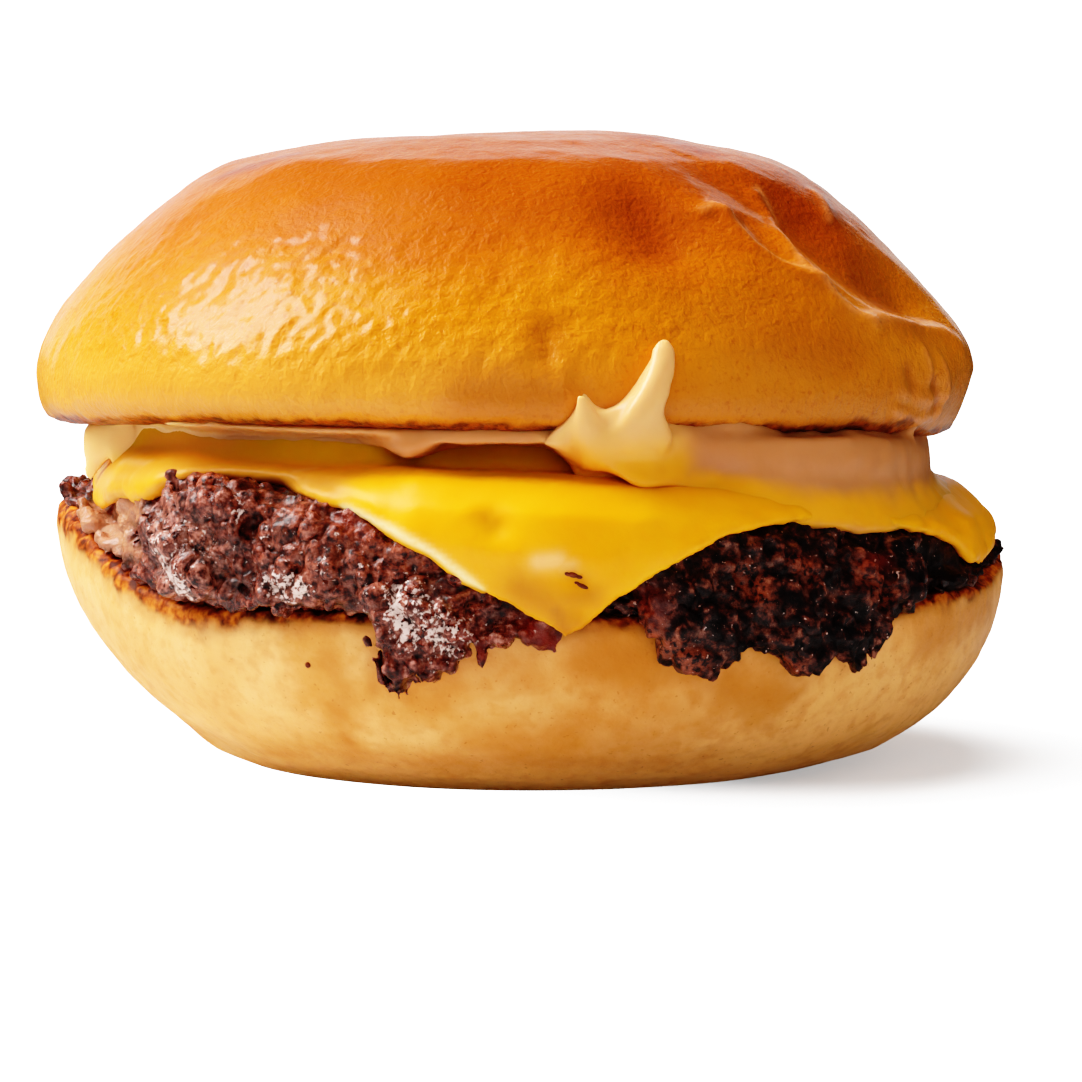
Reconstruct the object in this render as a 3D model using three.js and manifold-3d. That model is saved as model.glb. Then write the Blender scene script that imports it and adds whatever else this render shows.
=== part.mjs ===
// Cheeseburger: a glazed bun crown, a film and splash of burger sauce, a melted slice of
// cheese, a rough crumbly beef patty and a bun heel, stacked as they are eaten.
//
// Millimetres, +Z up, the front of the burger towards -Y. Every layer is built round one
// upright axis from sections: at each azimuth an outline in (radius, height) that starts
// and ends on the axis. Azimuths are in degrees, 0 at +X (right) and 270 at the front.
// Each layer follows the face of the one below it at a small clearance.

import * as THREE from 'three';
import { ImprovedNoise } from 'three/addons/math/ImprovedNoise.js';
import Module from 'manifold-3d';

const wasm = await Module();
wasm.setup();

const { lerp, smoothstep, degToRad, clamp, euclideanModulo } = THREE.MathUtils;

// ---------------------------------------------------------------- driving dimensions

const GAP = 0.3; // clearance between two layers that touch
const CENTRING_RUN = 12; // radius by which a ring's middle has moved from the axis to its own

const HEEL = {
  centreX: 1.1,
  squash: 0.02, // share by which it is shallower than wide
  seatHeight: 20.6, // toasted cut face inside the rim
  seatRings: [46, 42, 36, 18], // radii of the cut face's corners inside the rim
  climbFrom: 36, // radius at which the cut face starts to climb to the rim
  rimWidth: 1.6,
  curl: { azimuth: 186, spread: 46, rise: 8.2 }, // rim curled up on the left
  undercut: { azimuth: 180, spread: 84 }, // where the side takes the curled outline
  rimWaves: [
    { azimuth: 0, spread: 28, rise: 2.1 },
    { azimuth: 90, spread: 60, rise: 1.2 },
    { azimuth: 308, spread: 14, rise: -1.2 },
  ],
  // Side outlines in (radius, height), from the flat spot it rests on to the rim.
  lowSide: [
    [25, 0], [33.5, 0.7], [40.2, 2.8], [45.6, 6.3], [49.3, 11], [51.1, 15.5], [51.6, 18.9], [51.2, 20.4],
  ],
  curledSide: [
    [26.5, 0], [35, 1.6], [40, 6.6], [44.2, 10.6], [48.4, 15.6], [50.6, 20.8], [51.4, 25.5], [50.9, 28.6],
  ],
};

const PATTY = {
  radius: 50.3,
  bulges: [
    { azimuth: 275, spread: 80, rise: 3.4 },
    { azimuth: 194, spread: 36, rise: -4.4 },
    { azimuth: 68, spread: 40, rise: 2.9 },
    { azimuth: 130, spread: 34, rise: 3 },
    { azimuth: 304, spread: 28, rise: 1.3 },
  ],
  topHeight: 30,
  topRings: [18, 34], // radii of the top's corners inside the shoulder
  topTilt: 3, // the top stands this much higher at the rim of its thickest side
  thickAzimuth: 215,
  shoulderWidth: [10.5, 5], // radial run of the rounded top edge, thin side and thick side
  shoulderDrop: [6.5, 4],
  shoulderAngles: [30, 60, 90],
  wallCorners: [3.5, 7, 10.5], // their depths below the shoulder
  wallFoot: 12, // height to which the side wall could hang
  wallFrom: 41, // length over the top at which the fine rings of the side start
  wallRings: 10,
  innerRings: [32, 20], // lengths over the top of the coarse rings inside those
  undersideCorners: 10, // corners of the underside, down to the lowest that a flap can reach
  undersideSpacing: 0.15, // least spacing of the corners bunched up at the edge
  relief: { sink: 1.35, swell: 0.9, sinkUnderCheese: 0.7 }, // depths of the crumbly surface
  grain: 4.2, // size of its lumps
  tuckIn: 1.4, // how far inside the rim its edge stays where nothing hangs
  flapClearance: 0.8, // between the flaps and the heel's side
  flapMargins: [5.5, 12], // turn past a flap over which the edge draws back inside the rim
  // Ragged flaps that hang over the heel's rim.
  flaps: [
    { azimuth: 258, spread: 4.5, drop: 7.3 },
    { azimuth: 262.5, spread: 6, drop: 5.6 },
    { azimuth: 267, spread: 8, drop: 3.2 },
    { azimuth: 272, spread: 5, drop: 2.9 },
    { azimuth: 288, spread: 5.5, drop: 5.4 },
    { azimuth: 294, spread: 8, drop: 3.8 },
    { azimuth: 300, spread: 4, drop: 5.8 },
    { azimuth: 304, spread: 9, drop: 3.8 },
    { azimuth: 307, spread: 4, drop: 5.8 },
    { azimuth: 310, spread: 3.5, drop: 4.8 },
    { azimuth: 318, spread: 9, drop: 0.6 },
    { azimuth: 60, spread: 13, drop: 4.2 },
    { azimuth: 76, spread: 12, drop: 5.4 },
    { azimuth: 114, spread: 13, drop: 3.4 },
    { azimuth: 132, spread: 13, drop: 4.2 },
  ],
  // Big lumps that stand out of the side.
  lumps: [
    { azimuth: 236, height: 32.2, size: 3.4, rise: 1.6 },
    { azimuth: 232, height: 26.6, size: 5, rise: 1.6 },
    { azimuth: 222, height: 30, size: 3.6, rise: 1.2 },
    { azimuth: 190, height: 29, size: 3.4, rise: 3 },
    { azimuth: 258, height: 18, size: 4, rise: 0.8 },
    { azimuth: 300, height: 19.5, size: 5, rise: 1.2 },
    { azimuth: 308, height: 18.5, size: 4.5, rise: 1.2 },
    { azimuth: 316, height: 23.5, size: 4.4, rise: 1.6 },
    { azimuth: 66, height: 23, size: 5, rise: 1.2 },
    { azimuth: 150, height: 25, size: 4.5, rise: 1.2 },
  ],
  cleft: { azimuth: 279.5, spread: 5, depth: 4.5, top: 27 }, // dark gap beside the cheese tip
};

const CHEESE = {
  thickness: 2.4,
  edgeThickness: 1.5,
  edgeTaper: 6, // length over which it thins
  edgeSpacing: 0.6, // least spacing of the corners bunched up at the edge
  cornerSharpness: 17,
  // Distances of the slice's four sides from the axis, along the face it lies on.
  sides: [
    { azimuth: 233, distance: 47 },
    { azimuth: 312, distance: 51 },
    { azimuth: 50, distance: 47.5 },
    { azimuth: 140, distance: 46 },
  ],
  edgeWaves: [
    { azimuth: 182, spread: 36, rise: -14 }, // a corner folded under
    { azimuth: 275, spread: 6, rise: 1.8 }, // the drop at the front corner
    { azimuth: 263, spread: 18, rise: 3.8 },
    { azimuth: 224, spread: 9, rise: 2.4 },
    { azimuth: 331, spread: 12, rise: -2 },
    { azimuth: 80, spread: 14, rise: 1.5 },
  ],
  rimClearance: 1.6, // its edge ends this far above the heel's rim, except where it hangs free
  freeHang: { azimuth: 272, spread: 40, length: 14 },
};

const SAUCE = {
  clearance: 0.35, // from the cheese below
  bed: { from: 34, to: 58, corners: 13 }, // lengths along the bed between its even corners
  bareFrom: [2.2, 5], // lengths past the cheese's edge over which the bed comes down to the patty
  outerFrom: 38, // length along the bed at which the even corners of its own underside start
  outerCorners: 4,
  bandReach: 45, // length along the cheese that the filling covers
  bandWaves: [
    { azimuth: 308, spread: 40, rise: 4.4 },
    { azimuth: 0, spread: 28, rise: -3.4 },
    { azimuth: 196, spread: 22, rise: 1.2 },
    { azimuth: 60, spread: 24, rise: 1.6 },
    { azimuth: 112, spread: 16, rise: -1.4 },
    { azimuth: 150, spread: 18, rise: 1 },
  ],
  bulge: 1.4,
  edgeOverhang: 0.8, // how far its top reaches past its foot
  wallRings: 3,
  cave: { from: 211, to: 273, margin: 5, radius: 40.5 }, // hollow under the lip on the left
  lip: { radii: [41.7, 45.8, 48.4], thickness: 0.9, round: 0.4 },
  drip: { azimuth: 257, spread: 6, drop: 1.9 },
};

// Splashes of sauce up the crown: stations of (azimuth, radius, height, thickness / 2).
const SPLASHES = [
  [[278.6, 46.5, 36.1, 1.3], [278.4, 51, 36.4, 1.9], [277.6, 53, 39, 1.6], [276.8, 52.6, 41.9, 0.9]],
  [
    [281.6, 46.2, 36.1, 1.3], [281.6, 51, 36.3, 2.1], [282.6, 53.6, 38.6, 2.1],
    [284.4, 53.4, 41.6, 1.8], [286, 52.2, 44.6, 1.6], [286.6, 51, 46.5, 1.4],
  ],
  [[285, 46.2, 36, 1.3], [285, 51, 36.3, 1.9], [285.6, 52.9, 38.4, 1.7]],
];
const SPLASH_SIDES = 8;

// Trickles down over the cheese's edge, each from one length along it to another.
const TRICKLES = {
  halves: [0.5, 0.7, 0.95, 1.1, 0.8], // half its thickness from the top to the foot
  clearance: 0.2, // above the bed
  sides: 6,
  runs: [
    { azimuth: 196, from: 41, to: 47 },
    { azimuth: 200, from: 41, to: 49.5 },
    { azimuth: 204, from: 42, to: 49.5 },
  ],
};

const CROWN = {
  centreX: -1.6,
  squash: 0,
  lean: -0.6, // how far its middle leans to the side above its widest ring
  cutHeight: 35.6,
  cutTilt: -0.016, // rise of the cut for each millimetre to the right
  frontLift: 2.7, // the cut climbs towards the front
  frontLiftRun: 48,
  // The rolled lower edge, in (radius, height above the cut), tucked in on the right.
  lowerEdge: [[47.2, 0], [49.4, 0.5], [50.4, 1.9]],
  edgeTuck: { azimuth: 355, spread: 60, rise: -1.5 },
  // The dome's outline in (radius, height), from its widest ring to the top.
  dome: [
    [50.9, 42.3], [49.8, 45.9], [47, 49.9], [42, 55.3], [36, 60.4],
    [29.5, 64.3], [22, 66.3], [12, 67.3], [0, 67.6],
  ],
  leanHeights: [42.3, 55.3], // heights between which the lean sets in
  shoulder: { share: 0.55, rings: 12 }, // close rings over the outer share of that outline
  flatRings: 3, // wide rings over the rest
  // Folds and dents of the crust: routes of (azimuth, height).
  marks: [
    { route: [[291, 57.2]], width: 5.5, rise: -1.1 },
    { route: [[303, 59.5], [309, 54.5], [317, 50.1], [327, 47.9], [347, 44.6]], width: 3, rise: 0.9 },
    { route: [[315, 62], [321, 57], [328, 51.8], [338, 48.4]], width: 3.8, rise: -1.3 },
    { route: [[322, 63.7], [315, 59.1], [314, 53.6]], width: 2.8, rise: 0.7 },
    { route: [[275, 49], [275, 43]], width: 3, rise: -0.5 },
    { route: [[345, 62.5]], width: 8, rise: 0.9 },
    { route: [[325, 67]], width: 10, rise: 0.7 },
  ],
};

const FINISHES = {
  crown: { color: 0xd98a2b, roughness: 0.3 },
  sauce: { color: 0xe9bd7c, roughness: 0.3 },
  cheese: { color: 0xf7bd1c, roughness: 0.4 },
  patty: { color: 0x5a2c20, roughness: 0.45 },
  heel: { color: 0xe9bd7a, roughness: 0.75 },
};

// ---------------------------------------------------------------- angles and outlines

// The signed turn from one azimuth to another, the short way round.
function turnBetween(from, to) {
  return euclideanModulo(to - from + 180, 360) - 180;
}

// A smooth bump of height 1 at an azimuth that dies out over its spread.
function bump(azimuth, centre, spread) {
  const turn = Math.abs(turnBetween(centre, azimuth));
  return turn < spread ? 0.5 + 0.5 * Math.cos((Math.PI * turn) / spread) : 0;
}

function sumOfWaves(azimuth, waves) {
  return waves.reduce((sum, wave) => sum + wave.rise * bump(azimuth, wave.azimuth, wave.spread), 0);
}

// 1 between two azimuths, easing to 0 over a margin outside them.
function within(azimuth, { from, to, margin }) {
  const turn = Math.abs(turnBetween((from + to) / 2, azimuth));
  const half = (to - from) / 2;
  return 1 - smoothstep(turn, half, half + margin);
}

// How far a direction faces an azimuth: 1 towards it, 0 away from it.
function facing(azimuth, towards) {
  return 0.5 + 0.5 * Math.cos(degToRad(turnBetween(towards, azimuth)));
}

// Azimuths round a full turn, closer together between two of them.
function azimuthsRound({ from, to, fineStep, coarseStep }) {
  const azimuths = [];
  for (let azimuth = from; azimuth < to; azimuth += fineStep) azimuths.push(azimuth);
  for (let azimuth = to; azimuth < from + 360; azimuth += coarseStep) azimuths.push(azimuth);
  return azimuths;
}

// The radius from the axis of a ring that is centred to one side and squashed front to back.
function offCentre(azimuth, radius, { centreX, squash }) {
  const angle = degToRad(azimuth);
  const shift = centreX * Math.cos(angle) * smoothstep(radius, 0, CENTRING_RUN);
  return radius * (1 - squash * Math.sin(angle) ** 2) + shift;
}

function toSpace(azimuth, radius, height) {
  const angle = degToRad(azimuth);
  return new THREE.Vector3(radius * Math.cos(angle), radius * Math.sin(angle), height);
}

// Moves an open line off to its left, by one distance or by one for each corner.
function offsetPath(path, distance) {
  const sharpestMitre = 0.6;
  const last = path.length - 1;
  return path.map((here, index) => {
    const reach = Array.isArray(distance) ? distance[index] : distance;
    if (index === 0) return new THREE.Vector2(here.x, here.y + reach);
    const before = here.clone().sub(path[index - 1]).normalize();
    const after = index < last ? path[index + 1].clone().sub(here).normalize() : before;
    const along = before.clone().add(after).normalize();
    const mitre = reach / Math.max(sharpestMitre, along.dot(before));
    return new THREE.Vector2(here.x - along.y * mitre, here.y + along.x * mitre);
  });
}

// The lengths along a line at which its corners lie.
function cornerLengths(path) {
  const lengths = [0];
  for (let index = 1; index < path.length; index += 1) {
    lengths.push(lengths[index - 1] + path[index].distanceTo(path[index - 1]));
  }
  return lengths;
}

// The point that lies a given length along a line.
function pointAlong(path, length) {
  const lengths = cornerLengths(path);
  const last = path.length - 1;
  let index = 1;
  while (index < last && lengths[index] < length) index += 1;
  const step = lengths[index] - lengths[index - 1];
  const share = clamp((length - lengths[index - 1]) / step, 0, 1);
  return path[index - 1].clone().lerp(path[index], share);
}

// The length at which a line, past its highest stretch, has come down to a height.
function lengthAtHeight(path, height) {
  const lengths = cornerLengths(path);
  for (let index = path.length - 1; index > 0; index -= 1) {
    const above = path[index - 1];
    const below = path[index];
    if (above.y >= height && below.y < height) {
      const share = (above.y - height) / (above.y - below.y);
      return lerp(lengths[index - 1], lengths[index], share);
    }
  }
  return lengths[lengths.length - 1];
}

// A line's corners up to an end length. Those past the end bunch up in front of it.
function cornersUpTo(path, endLength, spacing) {
  const lengths = cornerLengths(path);
  const last = lengths.length - 1;
  return lengths.map((length, index) => {
    const latest = endLength - spacing * (last - index);
    return pointAlong(path, index === last ? endLength : Math.min(length, latest));
  });
}

// Points at even steps between two lengths along a line.
function pointsBetween(path, from, to, count) {
  const lengths = Array.from({ length: count }, (_, index) => lerp(from, to, index / (count - 1)));
  return lengths.map((length) => pointAlong(path, length));
}

// ---------------------------------------------------------------- solids

// A closed geometry from the section outline at each azimuth. Every outline runs from the
// axis at the bottom, round the outside, to the axis at the top.
function solidOfSections(azimuths, sectionAt, displace = (corner) => corner) {
  const sections = azimuths.map((azimuth) => sectionAt(azimuth));
  const rings = sections[0].length - 2;
  const bottom = sections[0][0];
  const top = sections[0][rings + 1];
  const corners = [toSpace(0, 0, bottom.y), toSpace(0, 0, top.y)];
  sections.forEach((section, side) => {
    section.slice(1, -1).forEach((corner, ring) => {
      corners.push(displace(toSpace(azimuths[side], corner.x, corner.y), azimuths[side], ring));
    });
  });
  const indices = [];
  for (let side = 0; side < azimuths.length; side += 1) {
    const here = 2 + side * rings;
    const next = 2 + ((side + 1) % azimuths.length) * rings;
    indices.push(0, next, here);
    for (let ring = 0; ring < rings - 1; ring += 1) {
      indices.push(here + ring, next + ring, next + ring + 1);
      indices.push(here + ring, next + ring + 1, here + ring + 1);
    }
    indices.push(here + rings - 1, next + rings - 1, 1);
  }
  return closedGeometry(corners.flatMap((corner) => corner.toArray()), indices);
}

function closedGeometry(positions, indices) {
  const geometry = new THREE.BufferGeometry();
  geometry.setAttribute('position', new THREE.Float32BufferAttribute(positions, 3));
  geometry.setIndex(indices);
  return geometry;
}

// A closed round rod through stations of { centre, radius }, its ends rounded off.
function rodThrough(stations, sides) {
  const capNarrowing = 0.6; // a cap's ring against the rod's radius
  const capPush = 0.7; // its place past the rod's end, against that radius
  const centres = stations.map(({ centre }) => centre);
  const curve = new THREE.CatmullRomCurve3(centres, false, 'centripetal');
  const lastRing = 2 * stations.length;
  const frames = curve.computeFrenetFrames(lastRing, false);
  const corners = [];
  const addRing = (ring, radius, push) => {
    const middle = curve.getPointAt(ring / lastRing).addScaledVector(frames.tangents[ring], push);
    for (let side = 0; side < sides; side += 1) {
      const angle = (2 * Math.PI * side) / sides;
      const across = frames.normals[ring].clone().multiplyScalar(Math.cos(angle) * radius);
      across.addScaledVector(frames.binormals[ring], Math.sin(angle) * radius);
      corners.push(middle.clone().add(across));
    }
  };
  const startRadius = stations[0].radius;
  const endRadius = stations[stations.length - 1].radius;
  addRing(0, startRadius * capNarrowing, -startRadius * capPush);
  for (let ring = 0; ring <= lastRing; ring += 1) {
    const place = (ring / lastRing) * (stations.length - 1);
    const index = Math.min(Math.floor(place), stations.length - 2);
    addRing(ring, lerp(stations[index].radius, stations[index + 1].radius, place - index), 0);
  }
  addRing(lastRing, endRadius * capNarrowing, endRadius * capPush);
  const startPole = corners.length;
  const endPole = startPole + 1;
  corners.push(curve.getPointAt(0).addScaledVector(frames.tangents[0], -startRadius));
  corners.push(curve.getPointAt(1).addScaledVector(frames.tangents[lastRing], endRadius));
  const rings = startPole / sides;
  const indices = [];
  for (let side = 0; side < sides; side += 1) {
    const next = (side + 1) % sides;
    indices.push(startPole, next, side);
    for (let ring = 0; ring < rings - 1; ring += 1) {
      const here = ring * sides;
      indices.push(here + side, here + next, here + sides + next);
      indices.push(here + side, here + sides + next, here + sides + side);
    }
    indices.push((rings - 1) * sides + side, (rings - 1) * sides + next, endPole);
  }
  return closedGeometry(corners.flatMap((corner) => corner.toArray()), indices);
}

function toManifold(geometry) {
  return new wasm.Manifold(
    new wasm.Mesh({
      numProp: 3,
      vertProperties: new Float32Array(geometry.attributes.position.array),
      triVerts: new Uint32Array(geometry.index.array),
    }),
  );
}

function fromManifold(solid) {
  const { vertProperties, triVerts } = solid.getMesh();
  return closedGeometry(Array.from(vertProperties), Array.from(triVerts));
}

const noise = new ImprovedNoise();

// Smooth noise from 0 to 1 in lumps of the grain's size.
function lumpy(place, grain) {
  const contrast = 0.7;
  const wave = noise.noise(place.x / grain, place.y / grain, place.z / grain);
  return clamp(0.5 + contrast * wave, 0, 1);
}

// The shortest distance from a place to a route of corners, or to a lone point.
function distanceToRoute(place, route) {
  if (route.length === 1) return place.distanceTo(route[0]);
  const nearest = new THREE.Vector3();
  const distances = route.slice(1).map((end, index) => {
    new THREE.Line3(route[index], end).closestPointToPoint(place, true, nearest);
    return place.distanceTo(nearest);
  });
  return Math.min(...distances);
}

// ---------------------------------------------------------------- bun heel

function heelRimHeight(azimuth) {
  const rim = HEEL.lowSide[HEEL.lowSide.length - 1][1];
  return rim + sumOfWaves(azimuth, [HEEL.curl, ...HEEL.rimWaves]);
}

// The heel's section: its side from the resting spot up to the rim, then the cut face.
function heelSection(azimuth) {
  const curled = bump(azimuth, HEEL.undercut.azimuth, HEEL.undercut.spread);
  const rimHeight = heelRimHeight(azimuth);
  const side = HEEL.lowSide.map(([radius, height], index) => {
    const [curledRadius, curledHeight] = HEEL.curledSide[index];
    const ring = offCentre(azimuth, lerp(radius, curledRadius, curled), HEEL);
    return new THREE.Vector2(ring, lerp(height, curledHeight, curled));
  });
  const scale = rimHeight / side[side.length - 1].y;
  side.forEach((corner) => corner.setY(corner.y * scale));
  const rimRadius = side[side.length - 1].x - HEEL.rimWidth;
  const seat = [rimRadius, ...HEEL.seatRings].map((radius) => {
    const climb = smoothstep(radius, HEEL.climbFrom, rimRadius);
    return new THREE.Vector2(radius, lerp(HEEL.seatHeight, rimHeight, climb));
  });
  return [new THREE.Vector2(0, 0), ...side, ...seat, new THREE.Vector2(0, HEEL.seatHeight)];
}

function buildHeel() {
  const azimuths = azimuthsRound({ from: 180, to: 360, fineStep: 5, coarseStep: 7.5 });
  return solidOfSections(azimuths, heelSection);
}

// ---------------------------------------------------------------- beef patty

// The radius of the patty's wall, and the run and drop of the rounded shoulder over it.
function pattyRim(azimuth) {
  const thick = facing(azimuth, PATTY.thickAzimuth);
  return {
    wall: PATTY.radius + sumOfWaves(azimuth, PATTY.bulges),
    width: lerp(...PATTY.shoulderWidth, thick),
    drop: lerp(...PATTY.shoulderDrop, thick),
  };
}

// The smooth outer face of the patty, from the axis over its rounded shoulder and down its
// wall. The layers above follow it.
function pattyFace(azimuth) {
  const { wall, width, drop } = pattyRim(azimuth);
  const turn = degToRad(azimuth - PATTY.thickAzimuth);
  const slope = (PATTY.topTilt * Math.cos(turn)) / PATTY.radius;
  const topAt = (radius) => new THREE.Vector2(radius, PATTY.topHeight + slope * radius);
  const start = topAt(wall - width);
  const shoulder = PATTY.shoulderAngles.map((degrees) => {
    const angle = degToRad(degrees);
    const run = new THREE.Vector2(width * Math.sin(angle), -drop * (1 - Math.cos(angle)));
    return run.add(start);
  });
  const side = PATTY.wallCorners.map((down) => new THREE.Vector2(wall, start.y - drop - down));
  const foot = new THREE.Vector2(wall, PATTY.wallFoot);
  return [0, ...PATTY.topRings].map(topAt).concat(start, shoulder, side, foot);
}

// How far the patty's edge reaches past the corner of the heel's rim.
function pattyOverhang(azimuth) {
  const { flaps, flapMargins, tuckIn } = PATTY;
  const drops = flaps.map((flap) => flap.drop * bump(azimuth, flap.azimuth, flap.spread));
  const away = flaps.map((flap) => Math.abs(turnBetween(flap.azimuth, azimuth)) - flap.spread);
  return Math.max(...drops) - tuckIn * smoothstep(Math.min(...away), ...flapMargins);
}

// The patty's section: its underside follows the heel's cut face, over the rim and down to
// the edge; its wall climbs from there to the top.
function pattySection(azimuth) {
  const heelFace = heelSection(azimuth).reverse();
  const rimCorner = heelFace.length - 1 - HEEL.lowSide.length;
  const clearances = heelFace.map((_, index) => (index < rimCorner ? GAP : PATTY.flapClearance));
  const under = offsetPath(heelFace, clearances);
  const overhang = pattyOverhang(azimuth);
  const edgeLength = cornerLengths(under)[rimCorner] + overhang;
  const undersideLine = under.slice(0, PATTY.undersideCorners);
  const underside = cornersUpTo(undersideLine, edgeLength, PATTY.undersideSpacing);
  const foot = underside[underside.length - 1];
  const face = pattyFace(azimuth);
  const hangs = smoothstep(overhang, 0, 2);
  const faceEnd = lengthAtHeight(face, foot.y + lerp(1.4, -0.3, hangs));
  const wall = pointsBetween(face, PATTY.wallFrom, faceEnd, PATTY.wallRings);
  const lowest = wall[wall.length - 1];
  const tipHeight = foot.y + lerp(0.2, -0.8, hangs);
  const tip = new THREE.Vector2((foot.x + lowest.x) / 2, tipHeight);
  const top = PATTY.innerRings.map((length) => pointAlong(face, length));
  return [...underside, tip, ...wall.reverse(), ...top, face[0]];
}

// Crumbly lumps, the big lumps and the cleft, pushed out of or into the side wall. Under the
// cheese the surface only sinks below the smooth face, and on a thin flap it only swells.
function roughenPatty(place, azimuth) {
  const { relief, grain, lumps, cleft } = PATTY;
  const { wall, width } = pattyRim(azimuth);
  const radius = Math.hypot(place.x, place.y);
  const side = smoothstep(radius - (wall - width), -4, 1);
  const cheeseEdge = pointAlong(pattyFace(azimuth), cheeseReach(azimuth));
  const below = smoothstep(cheeseEdge.y - place.z, 1.2, 3.2);
  const beyond = smoothstep(radius - cheeseEdge.x, 1.2, 3.2);
  const bare = Math.max(below, beyond) * side;
  const lump = lumpy(place, grain);
  const flap = smoothstep(heelRimHeight(azimuth) - place.z, -2, 0.5);
  const bareRelief = lerp(-relief.sink * (1 - flap), relief.swell, lump);
  let push = lerp(-relief.sinkUnderCheese * (1 - lump), bareRelief, bare);
  for (const { azimuth: at, height, size, rise } of lumps) {
    const centre = toSpace(at, wall - 1, height);
    push += bare * rise * Math.exp(-(place.distanceToSquared(centre) / size ** 2));
  }
  if (place.z < cleft.top) push -= side * cleft.depth * bump(azimuth, cleft.azimuth, cleft.spread);
  const outward = new THREE.Vector3(place.x, place.y, 0).normalize();
  outward.z = 0.7 * (1 - side) + 0.5 * beyond * (1 - below);
  return place.clone().addScaledVector(outward.normalize(), push);
}

function buildPatty() {
  const azimuths = azimuthsRound({ from: 180, to: 345, fineStep: 2.75, coarseStep: 5.5 });
  return solidOfSections(azimuths, pattySection, (place, azimuth, ring) => {
    return ring < PATTY.undersideCorners ? place : roughenPatty(place, azimuth);
  });
}

// ---------------------------------------------------------------- cheese slice

// The length of cheese along the patty's face: a square slice with softened corners.
function cheeseReach(azimuth) {
  const sharpness = CHEESE.cornerSharpness;
  const sides = CHEESE.sides.map(({ azimuth: side, distance }) => {
    return Math.max(0, Math.cos(degToRad(azimuth - side)) / distance) ** sharpness;
  });
  const reach = sides.reduce((sum, side) => sum + side, 0) ** (-1 / sharpness);
  const hang = CHEESE.freeHang;
  const rimLength = lengthAtHeight(pattyFace(azimuth), heelRimHeight(azimuth) + CHEESE.rimClearance);
  return Math.min(
    reach + sumOfWaves(azimuth, CHEESE.edgeWaves),
    rimLength + hang.length * bump(azimuth, hang.azimuth, hang.spread),
  );
}

function cheeseThickness(length, reach) {
  return lerp(CHEESE.edgeThickness, CHEESE.thickness, smoothstep(reach - length, 0, CHEESE.edgeTaper));
}

function cheeseSection(azimuth) {
  const reach = cheeseReach(azimuth);
  const under = cornersUpTo(offsetPath(pattyFace(azimuth), GAP), reach, CHEESE.edgeSpacing);
  const thicknesses = cornerLengths(under).map((length) => cheeseThickness(length, reach));
  const top = offsetPath(under, thicknesses);
  const last = under.length - 1;
  const along = under[last].clone().sub(under[last - 1]).normalize();
  const tip = under[last].clone().lerp(top[last], 0.5);
  tip.addScaledVector(along, CHEESE.edgeThickness / 2);
  return [...under, tip, ...top.reverse()];
}

function buildCheese() {
  const azimuths = azimuthsRound({ from: 175, to: 345, fineStep: 4, coarseStep: 8.5 });
  return solidOfSections(azimuths, cheeseSection);
}

// ---------------------------------------------------------------- bun crown

// The height of the crown's cut face.
function crownCut(azimuth, radius) {
  const { x, y } = toSpace(azimuth, radius, 0);
  const lift = CROWN.frontLift * smoothstep(-y, 0, CROWN.frontLiftRun);
  return CROWN.cutHeight + CROWN.cutTilt * x + lift;
}

const CUT_RADII = [0, 22, 34, 42]; // rings that the cut face and the filling share

// The dome's outline: close rings over its shoulder, wide ones over its flat top.
function domeOutline() {
  const corners = CROWN.dome.map(([radius, height]) => new THREE.Vector2(radius, height));
  const curve = new THREE.SplineCurve(corners);
  const { share: shoulderShare, rings } = CROWN.shoulder;
  const shares = [];
  for (let ring = 0; ring < rings; ring += 1) shares.push((shoulderShare * ring) / rings);
  for (let ring = 0; ring <= CROWN.flatRings; ring += 1) {
    shares.push(lerp(shoulderShare, 1, ring / CROWN.flatRings));
  }
  return shares.map((share) => curve.getPointAt(share));
}

const dome = domeOutline();

function domeRadiusAt(height) {
  const index = Math.max(1, dome.findIndex((corner) => corner.y >= height));
  const share = (height - dome[index - 1].y) / (dome[index].y - dome[index - 1].y);
  return lerp(dome[index - 1].x, dome[index].x, clamp(share, 0, 1));
}

// The radius from the axis of a ring of the leaning dome.
function domeRing(azimuth, radius, height) {
  const lean = CROWN.lean * smoothstep(height, ...CROWN.leanHeights);
  return offCentre(azimuth, radius, { centreX: CROWN.centreX + lean, squash: CROWN.squash });
}

function crownSection(azimuth) {
  const cut = CUT_RADII.map((radius) => new THREE.Vector2(radius, crownCut(azimuth, radius)));
  const tuck = sumOfWaves(azimuth, [CROWN.edgeTuck]);
  const edge = CROWN.lowerEdge.map(([radius, rise]) => {
    const ring = offCentre(azimuth, radius + tuck, CROWN);
    return new THREE.Vector2(ring, crownCut(azimuth, ring) + rise);
  });
  const side = dome.map(({ x, y }) => new THREE.Vector2(domeRing(azimuth, x, y), y));
  return [...cut, ...edge, ...side];
}

function buildCrown() {
  const azimuths = azimuthsRound({ from: 285, to: 345, fineStep: 3, coarseStep: 7.5 });
  const firstDomeRing = CUT_RADII.length - 1 + CROWN.lowerEdge.length;
  const marks = CROWN.marks.map((mark) => ({
    ...mark,
    route: mark.route.map(([azimuth, height]) => {
      return toSpace(azimuth, domeRing(azimuth, domeRadiusAt(height), height), height);
    }),
  }));
  const middle = new THREE.Vector3(CROWN.centreX, 0, CROWN.cutHeight);
  return solidOfSections(azimuths, crownSection, (place, azimuth, ring) => {
    if (ring < firstDomeRing) return place;
    const push = marks.reduce((sum, { route, width, rise }) => {
      return sum + rise * Math.exp(-((distanceToRoute(place, route) / width) ** 2));
    }, 0);
    const outward = place.clone().sub(middle).normalize();
    return place.clone().addScaledVector(outward, push);
  });
}

// ---------------------------------------------------------------- burger sauce

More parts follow.
